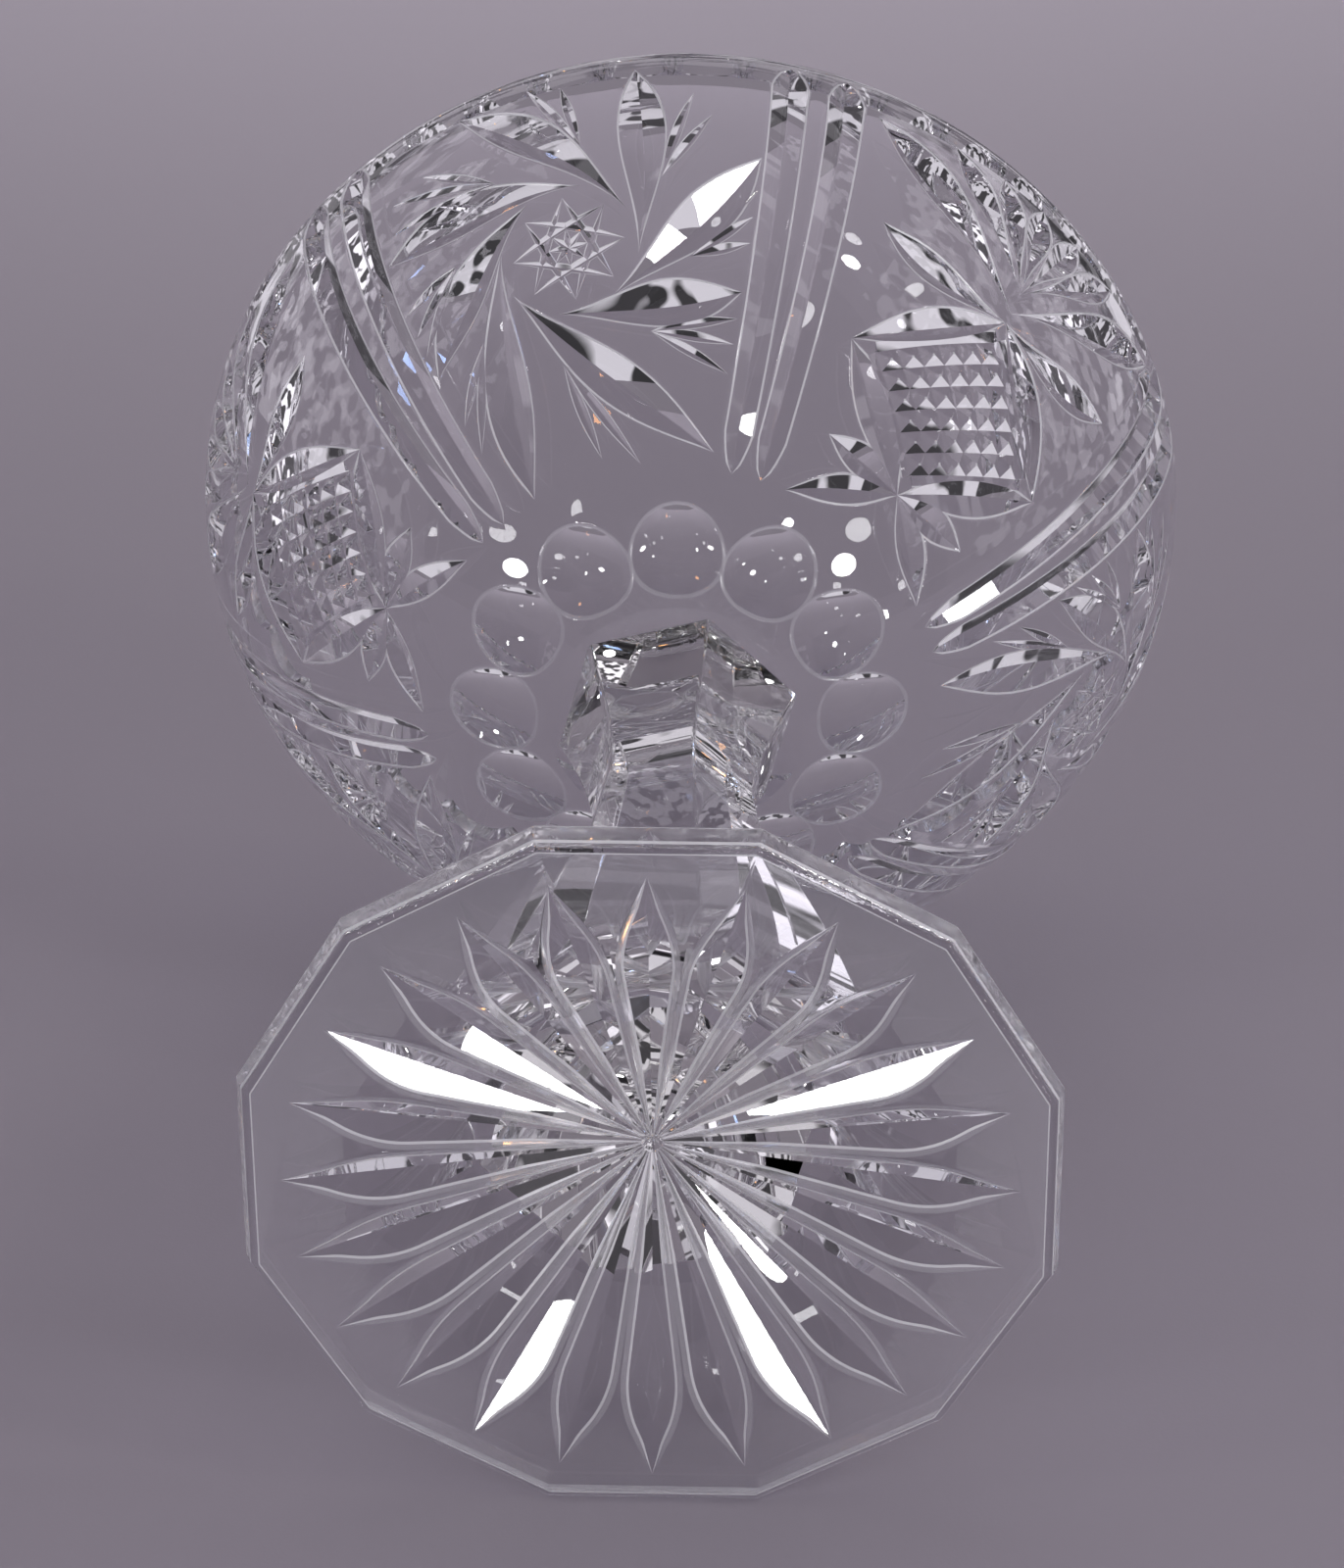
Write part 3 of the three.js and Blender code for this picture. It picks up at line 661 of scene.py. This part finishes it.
def eased_polygon(sides, corner, height, easing):
    """A ring round a regular polygon whose corners are rounded with the radius easing."""
    pitch = 2 * math.pi / sides
    inner = corner - easing / math.cos(pitch / 2)
    points = []
    for i in range(sides):
        toward = STEM_CORNER + i * pitch
        for share in np.linspace(-0.5, 0.5, EDGE_STEPS + 1):
            turn = toward + share * pitch
            x = inner * math.cos(toward) + easing * math.cos(turn)
            y = inner * math.sin(toward) + easing * math.sin(turn)
            points.append((x, y, height))
    return np.array(points)


def stem_radius(height):
    """The hexagon's corner radius at a height above the stem's lower end."""
    waist = STEM_HEAD - STEM_FOOT - STEM_WAIST_DROP
    if height >= waist:
        share = (height - waist) / STEM_WAIST_DROP
        return STEM_WAIST_RADIUS + (STEM_TOP_RADIUS - STEM_WAIST_RADIUS) * share**STEM_TOP_SWEEP
    share = (waist - height) / waist
    return STEM_WAIST_RADIUS + (STEM_BASE_RADIUS - STEM_WAIST_RADIUS) * share**STEM_SKIRT_SWEEP


def make_stem():
    rings = []
    for share in np.linspace(0, 1, STEM_RINGS + 1):
        height = (STEM_HEAD - STEM_FOOT) * share
        rings.append(eased_polygon(6, stem_radius(height), STEM_FOOT + height, STEM_EASING))
    ends = (0, 0, STEM_FOOT), (0, 0, STEM_HEAD)
    return ringed("stem_glass", ends[0], rings, ends[1], joints=("first", "last"))


stem = make_stem()
print("stem:", len(stem.data.polygons), "faces")

# %% [markdown]
# The foot
#
# The foot has twelve sides and a ground edge band, and its top rises in a hollow curve to the
# stem. Underneath it is hollow like a very flat cone with a level border, and twenty-four rays are
# cut into the cone. Each ray's bottom is one straight line from the middle to a point near the
# edge. The cone is a little steeper than that line, so the rays widen on their way out, and they
# close again where the cone bends over into the border. A small round pit joins them in the
# middle. The rays have the broadest lips, because the compote stands on this side and is rubbed.

# %% Describe the underside
FOOT_SIDES = 12
FOOT_RADIUS, FOOT_UNDERCUT, FOOT_BAND = 59.5, 1.4, 3.7
FOOT_EASINGS = 1.7, 0.5  # radii of the rounded edges below and above the band
FOOT_CORNER_EASING = 0.8
FOOT_SWEEP, FOOT_TOP_RINGS = 2, 24
FOOT_TOP_AIM, FOOT_TOP_START = 0.05, 0.04  # shares of the way up that its rounded edge needs
FOOT_SEAT_MARGIN = 1.1  # from the stem's corners to the edge of the flat they stand on
HOLLOW_DEPTH = 10.6
RAYS, RAY_LENGTH, RAY_START, RAY_STEPS = 24, 51.5, 1.6, 48
RAY_FULLNESS = 0.88  # share of the pitch that a ray takes up inside the cone
PIT_WIDTH, PIT_DEPTH = 3.2, 0.8
RAY_ROUND = 3.2
BORDER_EASING = 5.0  # half the width over which the cone bends into the level border
CONE_START, CONE_RINGS, BEND_RINGS = 2, 12, 10

RAY_SLOPE = HOLLOW_DEPTH / RAY_LENGTH
HOLLOW_SLOPE = RAY_SLOPE + RAY_FULLNESS * math.pi / RAYS * math.tan(FLANK_SLOPE)
BORDER_RADIUS = HOLLOW_DEPTH / HOLLOW_SLOPE


def hollow_height(radius):
    """How far above the table the underside is, at a distance from its middle."""
    inside = np.clip(BORDER_RADIUS + BORDER_EASING - radius, 0, 2 * BORDER_EASING)
    cone = np.maximum(BORDER_RADIUS - BORDER_EASING - radius, 0)
    return HOLLOW_SLOPE * (inside**2 / (4 * BORDER_EASING) + cone)


print("the hollow is", round(2 * BORDER_RADIUS), "mm wide and", HOLLOW_DEPTH, "mm deep")

# %% [markdown]
# The edge band is ground on a flat wheel and only roughly polished, which leaves it wavy. Its two
# edges are eased, and the parts of them that touch the table and other things are rubbed.

# %% Make the foot
ARC_STEPS = 8
BAND_RINGS = 2 * ARC_STEPS + 1  # of faces: the lower edge, the band and the upper edge
RUBBED_RINGS = 0, 6, 7, 11, 12, 13, 14, 15, 16  # of those, counted from below


def rounded_corner(before, corner, after, radius):
    """Points of an arc that eases the corner of a section."""
    a, b = (np.array(p, float) - corner for p in (before, after))
    a, b = a / np.linalg.norm(a), b / np.linalg.norm(b)
    half = math.acos(np.clip(a @ b, -1, 1)) / 2
    centre = np.array(corner) + (a + b) / np.linalg.norm(a + b) * radius / math.sin(half)
    start, end = (np.array(corner) + way * radius / math.tan(half) - centre for way in (a, b))
    shares = np.linspace(0, 1, ARC_STEPS + 1)
    arc = np.outer(1 - shares, start) + np.outer(shares, end)
    return centre + arc / np.linalg.norm(arc, axis=1, keepdims=True) * radius


def foot_top(share):
    """Radius and height of the top, from the edge band at 0 to the stem's seat at 1."""
    run = STEM_BASE_RADIUS + FOOT_SEAT_MARGIN - FOOT_RADIUS
    return FOOT_RADIUS + run * share, FOOT_BAND + (FOOT_SEAT - FOOT_BAND) * share**FOOT_SWEEP


def foot_outside():
    """Rings from the resting face, round the band and over the top to the stem's seat."""
    corners = [(0, 0), (FOOT_RADIUS - FOOT_UNDERCUT, 0), (FOOT_RADIUS, FOOT_BAND), foot_top(FOOT_TOP_AIM)]
    eased = [rounded_corner(*corners[i : i + 3], FOOT_EASINGS[i]) for i in range(2)]
    top = [foot_top(share) for share in np.linspace(FOOT_TOP_START, 1, FOOT_TOP_RINGS)]
    return [eased_polygon(FOOT_SIDES, r, z, FOOT_CORNER_EASING) for r, z in np.vstack(eased + [top])]


def foot_underside(turns):
    """Rings from the middle of the hollow out to the level border."""
    cone = np.linspace(CONE_START, BORDER_RADIUS - BORDER_EASING, CONE_RINGS)
    bend = BORDER_RADIUS + BORDER_EASING * np.linspace(-1, 1, BEND_RINGS + 1)
    radii = np.r_[cone, bend[1:]]
    return [circle(radius, hollow_height(radius), turns) for radius in radii]


def set_ring_slot(piece, count, ring, slot):
    """Gives the faces between ring and the next ring, each of count points, that slot."""
    for index in range(count * (ring + 1), count * (ring + 2)):
        piece.data.polygons[index].material_index = slot


def make_foot():
    outside = foot_outside()
    turns = np.arctan2(outside[-1][:, 1], outside[-1][:, 0])
    hollow = foot_underside(turns)
    seat = circle(polygon_radius(turns, 6, STEM_BASE_RADIUS), FOOT_SEAT, turns)
    ends = (0, 0, hollow_height(0)), (0, 0, FOOT_SEAT)
    foot = ringed("foot_glass", ends[0], hollow + outside + [seat], ends[1], joints=("last",))
    set_ring_slot(foot, len(turns), len(hollow) - 1, WORN_SLOT)
    for ring in range(BAND_RINGS):
        slot = LIP_SLOT if ring in RUBBED_RINGS else BAND_SLOT
        set_ring_slot(foot, len(turns), len(hollow) + ring, slot)
    return foot


def underside(flat, lift):
    """Places pattern points, which are in units of the wall as on the bowl, under the foot."""
    x, y = flat[..., 0] * UNIT, flat[..., 1] * UNIT
    return np.stack([x, -y, hollow_height(np.hypot(x, y)) - lift], -1)


def ray_width(t):
    radius = RAY_START + (RAY_LENGTH - RAY_START) * t
    depth = HOLLOW_DEPTH - RAY_SLOPE * radius - hollow_height(radius)
    return 2 * depth / math.tan(FLANK_SLOPE) / UNIT


def star_cuts():
    made = [dish((0, 0), PIT_WIDTH, PIT_DEPTH, underside, FINE_ROUND)]
    for i in range(RAYS):
        aim = np.array([math.cos(i * 2 * math.pi / RAYS), math.sin(i * 2 * math.pi / RAYS)])
        line = bowed(aim * RAY_START / UNIT, aim * RAY_LENGTH / UNIT)
        made.append(groove(line, ray_width, underside, RAY_STEPS, RAY_ROUND, rubbed=1))
    return made


foot = make_foot()
print("foot cut in", cut(foot, star_cuts()), "batches:", len(foot.data.polygons), "faces")

# %% [markdown]
# Shading
#
# Glass that was polished after cutting has smooth faces that meet in crisp lines. So every face
# is shaded smooth, every edge that turns more than a few degrees is marked sharp, and a Weighted
# Normal modifier lets large faces decide the shading, which keeps flat facets truly flat.

# %% Shade the pieces
SHARP_TURN = math.radians(11)


def shade(piece):
    piece.data.shade_smooth()
    piece.data.set_sharp_from_angle(angle=SHARP_TURN)
    weighted = piece.modifiers.new("shading", "WEIGHTED_NORMAL")
    weighted.mode, weighted.keep_sharp, weighted.weight = "FACE_AREA_WITH_ANGLE", True, 50
    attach(piece, "root")


for piece, node in ((bowl, "bowl"), (stem, "stem"), (foot, "foot")):
    shade(piece)
    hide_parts(node)
print("shaded", bowl.name, stem.name, foot.name)

# %% [markdown]
# Materials are built from nodes by small helpers. One turns a colour as people write it into the
# linear numbers that light adds up in, one adds a node with its settings and links, and one starts
# an empty material. Two end a material, with a single shader or with a choice of two. The last
# makes a surface uneven: no ground, polished or pressed thing is quite flat, and the eye knows a
# material by the length and height of its waves.

# %% Helpers for materials
def linear(hex_colour):
    """An sRGB hex colour as linear red, green, blue and alpha."""
    parts = [int(hex_colour[i : i + 2], 16) / 255 for i in (1, 3, 5)]
    return [p / 12.92 if p <= 0.04045 else ((p + 0.055) / 1.055) ** 2.4 for p in parts] + [1]


def add(tree, kind, settings=None, links=None):
    """Adds a node with its settings, and links its inputs to other nodes' outputs."""
    node = tree.nodes.new(kind)
    for name, value in (settings or {}).items():
        if name in node.inputs:
            node.inputs[name].default_value = value
        else:
            setattr(node, name, value)
    for name, source in (links or {}).items():
        tree.links.new(source, node.inputs[name])
    return node


def new_tree(name):
    material = bpy.data.materials.new(name)
    material.use_nodes = True
    material.node_tree.nodes.clear()
    return material, material.node_tree


def plain(name, kind, settings):
    """A material that is one shader with those settings."""
    material, tree = new_tree(name)
    shader = add(tree, kind, settings)
    add(tree, "ShaderNodeOutputMaterial", links={"Surface": shader.outputs[0]})
    return material


def show_either(tree, factor, usual, other):
    """Ends a material that shows the usual shader where factor is 0 and the other where it is 1."""
    both = add(tree, "ShaderNodeMixShader", links={"Fac": factor})
    tree.links.new(usual.outputs[0], both.inputs[1])
    tree.links.new(other.outputs[0], both.inputs[2])
    add(tree, "ShaderNodeOutputMaterial", links={"Surface": both.outputs[0]})


def uneven(tree, length_mm, height_mm, detail):
    """Where a surface with waves of that length and height faces."""
    place = add(tree, "ShaderNodeTexCoord")
    waves = add(tree, "ShaderNodeTexNoise", {"Scale": 1 / (length_mm * MM), "Detail": detail},
                {"Vector": place.outputs["Object"]})
    bump = add(tree, "ShaderNodeBump", {"Distance": height_mm * MM}, {"Height": waves.outputs["Fac"]})
    return bump.outputs["Normal"]


# %% [markdown]
# Lead glass
#
# Lead makes glass bend light more than window glass does, with an index of about 1.545, and that
# is what makes cut crystal sparkle. It has no colour, only a breath of grey in the thick parts.
# Polishing on a felt wheel leaves it very smooth but never quite flat: the surface rises and falls
# by a few thousandths of a millimetre over several millimetres, so reflections have a soft waver.
#
# Lamps have to reach the table through the glass, or it would throw the shadow of a stone. A
# shadow ray therefore finds a clear veil that takes away a little at each surface.

# %% Make the glass
GLASS_IOR = 1.545
GLASS_COLOUR = "#fbfbfd"
VEIL_COLOUR = "#dcdce0"
WAVER = 7.0, 0.004, 1.0  # length and height in mm, and how many finer waves ride on them


def lead_glass(name, roughness, clearness=1.0, colour=GLASS_COLOUR, waves=None):
    """Lead glass with a finish of its own. clearness is the share of light that goes through
    instead of being scattered, and waves are what uneven() wants."""
    material, tree = new_tree(name)
    glass = add(tree, "ShaderNodeBsdfPrincipled", {
        "Base Color": linear(colour), "Roughness": roughness, "IOR": GLASS_IOR,
        "Transmission Weight": clearness})
    if waves:
        tree.links.new(uneven(tree, *waves), glass.inputs["Normal"])
    veil = add(tree, "ShaderNodeBsdfTransparent", {"Color": linear(VEIL_COLOUR)})
    path = add(tree, "ShaderNodeLightPath")
    show_either(tree, path.outputs["Is Shadow Ray"], glass, veil)
    return material


polished = lead_glass("polished_lead_glass", 0.0, waves=WAVER)
for piece in (bowl, stem, foot):
    piece.data.materials[GLASS_SLOT] = polished
print(polished.name, "with an index of", GLASS_IOR)

# %% [markdown]
# Worn glass
#
# The same glass has four more finishes. The foot's edge band is ground and only roughly polished:
# clear, but full of short waves that break the light into flecks. The lips of the cuts are rubbed
# by cloths and shelves. Fine scratches scatter the light there, which draws a pale line round each
# cut, whitest where the lip turns down. The level face that the compote stands on has a faint grey
# haze of scuffs, and that makes the foot look a little lighter than the paper behind it.

# %% Make the worn finishes
BAND_WAVES = 1.6, 0.12, 3.0  # the same three numbers as for the polished glass
LIP_COLOUR, LIP_ROUGHNESS = "#f4f4f8", 0.18

finishes = {
    BAND_SLOT: lead_glass("ground_and_polished_edge", 0.06, waves=BAND_WAVES),
    LIP_SLOT: lead_glass("rubbed_glass_lip", LIP_ROUGHNESS, 0.5, LIP_COLOUR),
    SOFT_SLOT: lead_glass("soft_glass_lip", LIP_ROUGHNESS, 0.86, LIP_COLOUR),
    WORN_SLOT: lead_glass("scuffed_resting_face", 0.0, 0.93),
}
for piece in (bowl, stem, foot):
    for slot, finish in finishes.items():
        piece.data.materials[slot] = finish
print("worn finishes:", [finish.name for finish in finishes.values()])

# %% [markdown]
# The joints
#
# Foot, stem and bowl are held by thin films of clear adhesive that bends light like the glass
# itself, so a good joint can't be seen. In the model light must cross it without turning, which
# is what a fully transparent face and a film with an index of 1 do.

# %% Make the joints clear
joint = plain("bonded_joint_face", "ShaderNodeBsdfTransparent", {"Color": linear("#ffffff")})
adhesive = plain("clear_optical_adhesive", "ShaderNodeBsdfPrincipled", {
    "Base Color": linear("#fdfdfb"), "Roughness": 0.0, "IOR": 1.0, "Transmission Weight": 1.0})
for piece in (bowl, stem, foot):
    piece.data.materials[JOINT_SLOT] = joint
for node in ("foot_bond", "bowl_bond"):
    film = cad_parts[node]
    film.data.materials.clear()
    film.data.materials.append(adhesive)
print(joint.name, "and", adhesive.name)

# %% [markdown]
# The studio
#
# The compote lies on grey paper and touches it with the edge of its foot and the side of its bowl.
# Those two places give the plane of the table, and with it three directions: to the right, away
# from the camera, and up.

# %% Find the table
FOOT_CONTACT = Vector((0, 0.0575, 0.0037))
BOWL_CONTACT = Vector((0, 0.0816, 0.191))
away = (BOWL_CONTACT - FOOT_CONTACT).normalized()
right = Vector((1, 0, 0))
up = right.cross(away).normalized()


def in_studio(x, y, z):
    """A point given by metres to the right, away from the camera and up from the table."""
    return FOOT_CONTACT + right * x + away * y + up * z


compote_middle = in_studio(0, 0.1, 0.08)


def around(azimuth, elevation, distance):
    """A place round the compote. Azimuth 0 is the camera's side and counts to the right."""
    a, e = math.radians(azimuth), math.radians(elevation)
    level = math.sin(a) * right - math.cos(a) * away
    return compote_middle + distance * (math.cos(e) * level + math.sin(e) * up)


print("table leans", round(math.degrees(math.acos(up.dot(Vector((0, -1, 0))))), 1), "degrees from upright")

# %% [markdown]
# The paper is matt, with a faint tooth. It is seen from its front only, so that it never hides the
# compote from a camera behind it. A second sheet lies under the foot of the upright compote, for
# cameras above it. Only cameras see that one, so it changes nothing in the glass.

# %% Lay the paper
PAPER_TOOTH = 0.6, 0.02, 3.0  # the same three numbers as for the glass
PAPER_COLOUR = "#8f8892"


def paper(name, colour):
    material, tree = new_tree(name)
    sheet = add(tree, "ShaderNodeBsdfPrincipled", {"Base Color": linear(colour), "Roughness": 0.9},
                {"Normal": uneven(tree, *PAPER_TOOTH)})
    behind = add(tree, "ShaderNodeBsdfTransparent")
    side = add(tree, "ShaderNodeNewGeometry")
    show_either(tree, side.outputs["Backfacing"], sheet, behind)
    return material


def sheet_of(name, corners, material):
    mesh = bpy.data.meshes.new(name)
    mesh.from_pydata([tuple(c) for c in corners], [], [tuple(range(len(corners)))])
    thing = bpy.data.objects.new(name, mesh)
    bpy.context.scene.collection.objects.link(thing)
    thing.data.materials.append(material)
    return thing


grey_paper = paper("grey_studio_paper", PAPER_COLOUR)
table_corners = (-2, -0.1), (2, -0.1), (2, 0.85), (-2, 0.85)
sheet_of("table", [in_studio(x, y, 0) for x, y in table_corners], grey_paper)
floor = sheet_of("floor", [(-2, -2, 0), (2, -2, 0), (2, 2, 0), (-2, 2, 0)], grey_paper)
for way in ("diffuse", "glossy", "transmission", "shadow"):
    setattr(floor, "visible_" + way, False)
print("paper under the lying and the upright compote")

# %% [markdown]
# Lights
#
# The highlights in the photograph say where its lamps stood. Each white flank of a cut is a small
# mirror, and the directions worked out from them gather in a few places: near the table about
# forty degrees to the left and to the right of the camera, and higher up about fifty-five degrees
# to either side. Small round soft boxes stand there. Polished glass mirrors only about a
# twenty-fifth of what falls on it, so they have to be bright to show white, and being small they
# add little to the light on the paper.
#
# Four large lamps light the paper instead, from above, from behind, and from beyond its far and
# near edges. They don't show in the glass.

# %% Set the lights
def soft_light(name, place, size, power, shows=True):
    data = bpy.data.lights.new(name, "AREA")
    data.shape, data.size, data.size_y = "ELLIPSE", size[0], size[1]
    data.energy = power
    lamp = bpy.data.objects.new(name, data)
    lamp.matrix_world = look(place, compote_middle, up)
    bpy.context.scene.collection.objects.link(lamp)
    lamp.visible_camera = False
    lamp.visible_glossy = lamp.visible_transmission = shows


# name, azimuth and elevation in degrees, distance, width and height in m, power in W
MIRRORED_LAMPS = (
    ("right_soft_box", 36, -2.2, 1.0, 0.1, 0.09, 0.8),
    ("right_low_box", 46, -15, 1.0, 0.05, 0.05, 0.2),
    ("right_high_box", 24, 9, 1.0, 0.04, 0.04, 0.13),
    ("left_soft_box", -38.6, -3.9, 1.0, 0.105, 0.07, 0.6),
    ("left_high_box", -23, 3, 1.0, 0.04, 0.08, 0.25),
    ("upper_right_soft_box", 54.5, 35.7, 1.0, 0.17, 0.1, 1.3),
    ("upper_left_soft_box", -54, 34, 1.0, 0.08, 0.1, 0.5),
    ("window", 73, 56, 2.4, 0.12, 0.16, 1.6),
)
for name, azimuth, elevation, distance, width, height, power in MIRRORED_LAMPS:
    soft_light(name, around(azimuth, elevation, distance), (width, height), power)
soft_light("overhead_fill", around(0, 84, 1.2), (1.0, 1.0), 2.2, shows=False)
soft_light("back_fill", around(180, 40, 1.3), (1.0, 0.8), 1.0, shows=False)
soft_light("far_fill", in_studio(0, 0.97, 0.32), (1.2, 0.2), 3.2, shows=False)
soft_light("near_fill", in_studio(0.12, -0.3, 0.25), (1.2, 0.2), 0.75, shows=False)

# %% [markdown]
# Clear glass shows white, grey or black by what it bends and mirrors towards the eye, so it also
# needs a room, and this room is painted reflection. A nearly black glowing sheet hangs behind the
# camera between the lamps: painted shade that draws the dark lines in the cuts. Pale cards stand on
# both sides and behind the compote. They glow by themselves instead of being lit, and so are painted
# reflections of a lit room. They are broken up by dark patches about a hand wide, as doors and
# shelves break up a wall, and that is what makes neighbouring facets jump from light to dark. Two
# small warm glowing patches and a blue one are painted glints, in place of the small coloured
# sparks that real lead crystal splits out of white light. Only the glass sees all this: it lights
# nothing and casts no shadow.

# %% Put a room round the compote
CARD_COLUMNS, CARD_ROWS = 9, 7
CARD_GLOW_COLOUR = "#f0ebf4"
PATCH_MM = 110
PATCH_REST = 0.06  # share of the light that a dark patch keeps
NOISE_LOW, NOISE_SPREAD = 0.3, 0.35  # where most of the noise's values lie
PATCH_BLUR = 0.06  # width of a patch's soft edge, in the noise's own values


def glow(name, colour, strength):
    """A surface that shines evenly."""
    return plain(name, "ShaderNodeEmission", {"Color": linear(colour), "Strength": strength})


def patchy_glow(name, colour, strength, dark):
    """A surface that shines but for dark patches, which take up about the share dark of it."""
    material = glow(name, colour, strength)
    tree, edge = material.node_tree, NOISE_LOW + NOISE_SPREAD * dark
    place = add(tree, "ShaderNodeTexCoord")
    patches = add(tree, "ShaderNodeTexNoise", {"Scale": 1 / (PATCH_MM * MM), "Detail": 1.0},
                  {"Vector": place.outputs["Object"]})
    shades = add(tree, "ShaderNodeMapRange", {"From Min": edge, "From Max": edge + PATCH_BLUR,
                 "To Min": PATCH_REST * strength, "To Max": strength}, {"Value": patches.outputs["Fac"]})
    tree.links.new(shades.outputs["Result"], tree.nodes["Emission"].inputs["Strength"])
    return material


def card(name, azimuths, elevations, distance, material):
    """A sheet bent round the compote that only the glass sees. With a glowing material it is a painted
    reflection.
    """
    columns, rows = np.linspace(*azimuths, CARD_COLUMNS), np.linspace(*elevations, CARD_ROWS)
    points = np.array([around(a, e, distance) for e in rows for a in columns]) / MM
    starts = [CARD_COLUMNS * row + i for row in range(CARD_ROWS - 1) for i in range(CARD_COLUMNS - 1)]
    faces = [(i, i + 1, i + CARD_COLUMNS + 1, i + CARD_COLUMNS) for i in starts]
    sheet = mesh_from(name, points, faces)
    sheet.data.materials.append(material)
    sheet.visible_camera = sheet.visible_shadow = sheet.visible_diffuse = False


# Glowing cards with darker patches: painted reflections of a lit room, not lit by the lamps.
side_reflection_glow = patchy_glow("glowing_side_wall_painted_reflection", CARD_GLOW_COLOUR, 1.5, dark=0.55)
# Small warm and blue glowing patches: painted glints in place of the colours lead crystal splits from
# white light.
painted_warm_glint = glow("painted_warm_glint", "#ffb46a", 14)
# A nearly black glowing sheet behind the camera: painted shade, seen only in the glass.
card("painted_shade_curtain", (-60, 60), (-30, 60), 1.7, glow("painted_shade_black_sheet", "#0b0b0c", 1.0))
card("right_glowing_sheet", (66, 128), (-8, 50), 1.7, side_reflection_glow)
card("left_glowing_sheet", (-66, -128), (-8, 50), 1.7, side_reflection_glow)
card("back_glowing_sheet", (132, 228), (-5, 35), 1.2, patchy_glow("glowing_back_wall_painted_reflection", CARD_GLOW_COLOUR, 0.8, dark=0.45))
card("right_painted_warm_glint", (86, 90), (14, 17), 1.5, painted_warm_glint)
card("left_painted_warm_glint", (-24, -21), (30, 33), 1.5, painted_warm_glint)
card("painted_blue_glint_patch", (-78, -72), (20, 28), 1.5, glow("painted_blue_glint", "#a9c6ff", 12))
print("cards with dark patches", PATCH_MM, "mm wide")

# %% [markdown]
# The rest of the room is an even grey of about the paper's own brightness. Glass needs many
# bounces: a ray that enters a pyramid of the diamond may turn ten times before it leaves.

# %% Set the room and the bounces
ROOM_STRENGTH = 0.8

world = bpy.data.worlds.new("studio_air")
bpy.context.scene.world = world
world.use_nodes = True
room = world.node_tree.nodes["Background"]
room.inputs["Color"].default_value = linear(PAPER_COLOUR)
room.inputs["Strength"].default_value = ROOM_STRENGTH

scene = bpy.context.scene
scene.view_settings.view_transform = "Standard"
scene.cycles.max_bounces = 28
scene.cycles.transmission_bounces = 28
scene.cycles.glossy_bounces = 12
scene.cycles.transparent_max_bounces = 24
scene.cycles.diffuse_bounces = 2
scene.cycles.use_denoising = True
print("up to", scene.cycles.max_bounces, "bounces")
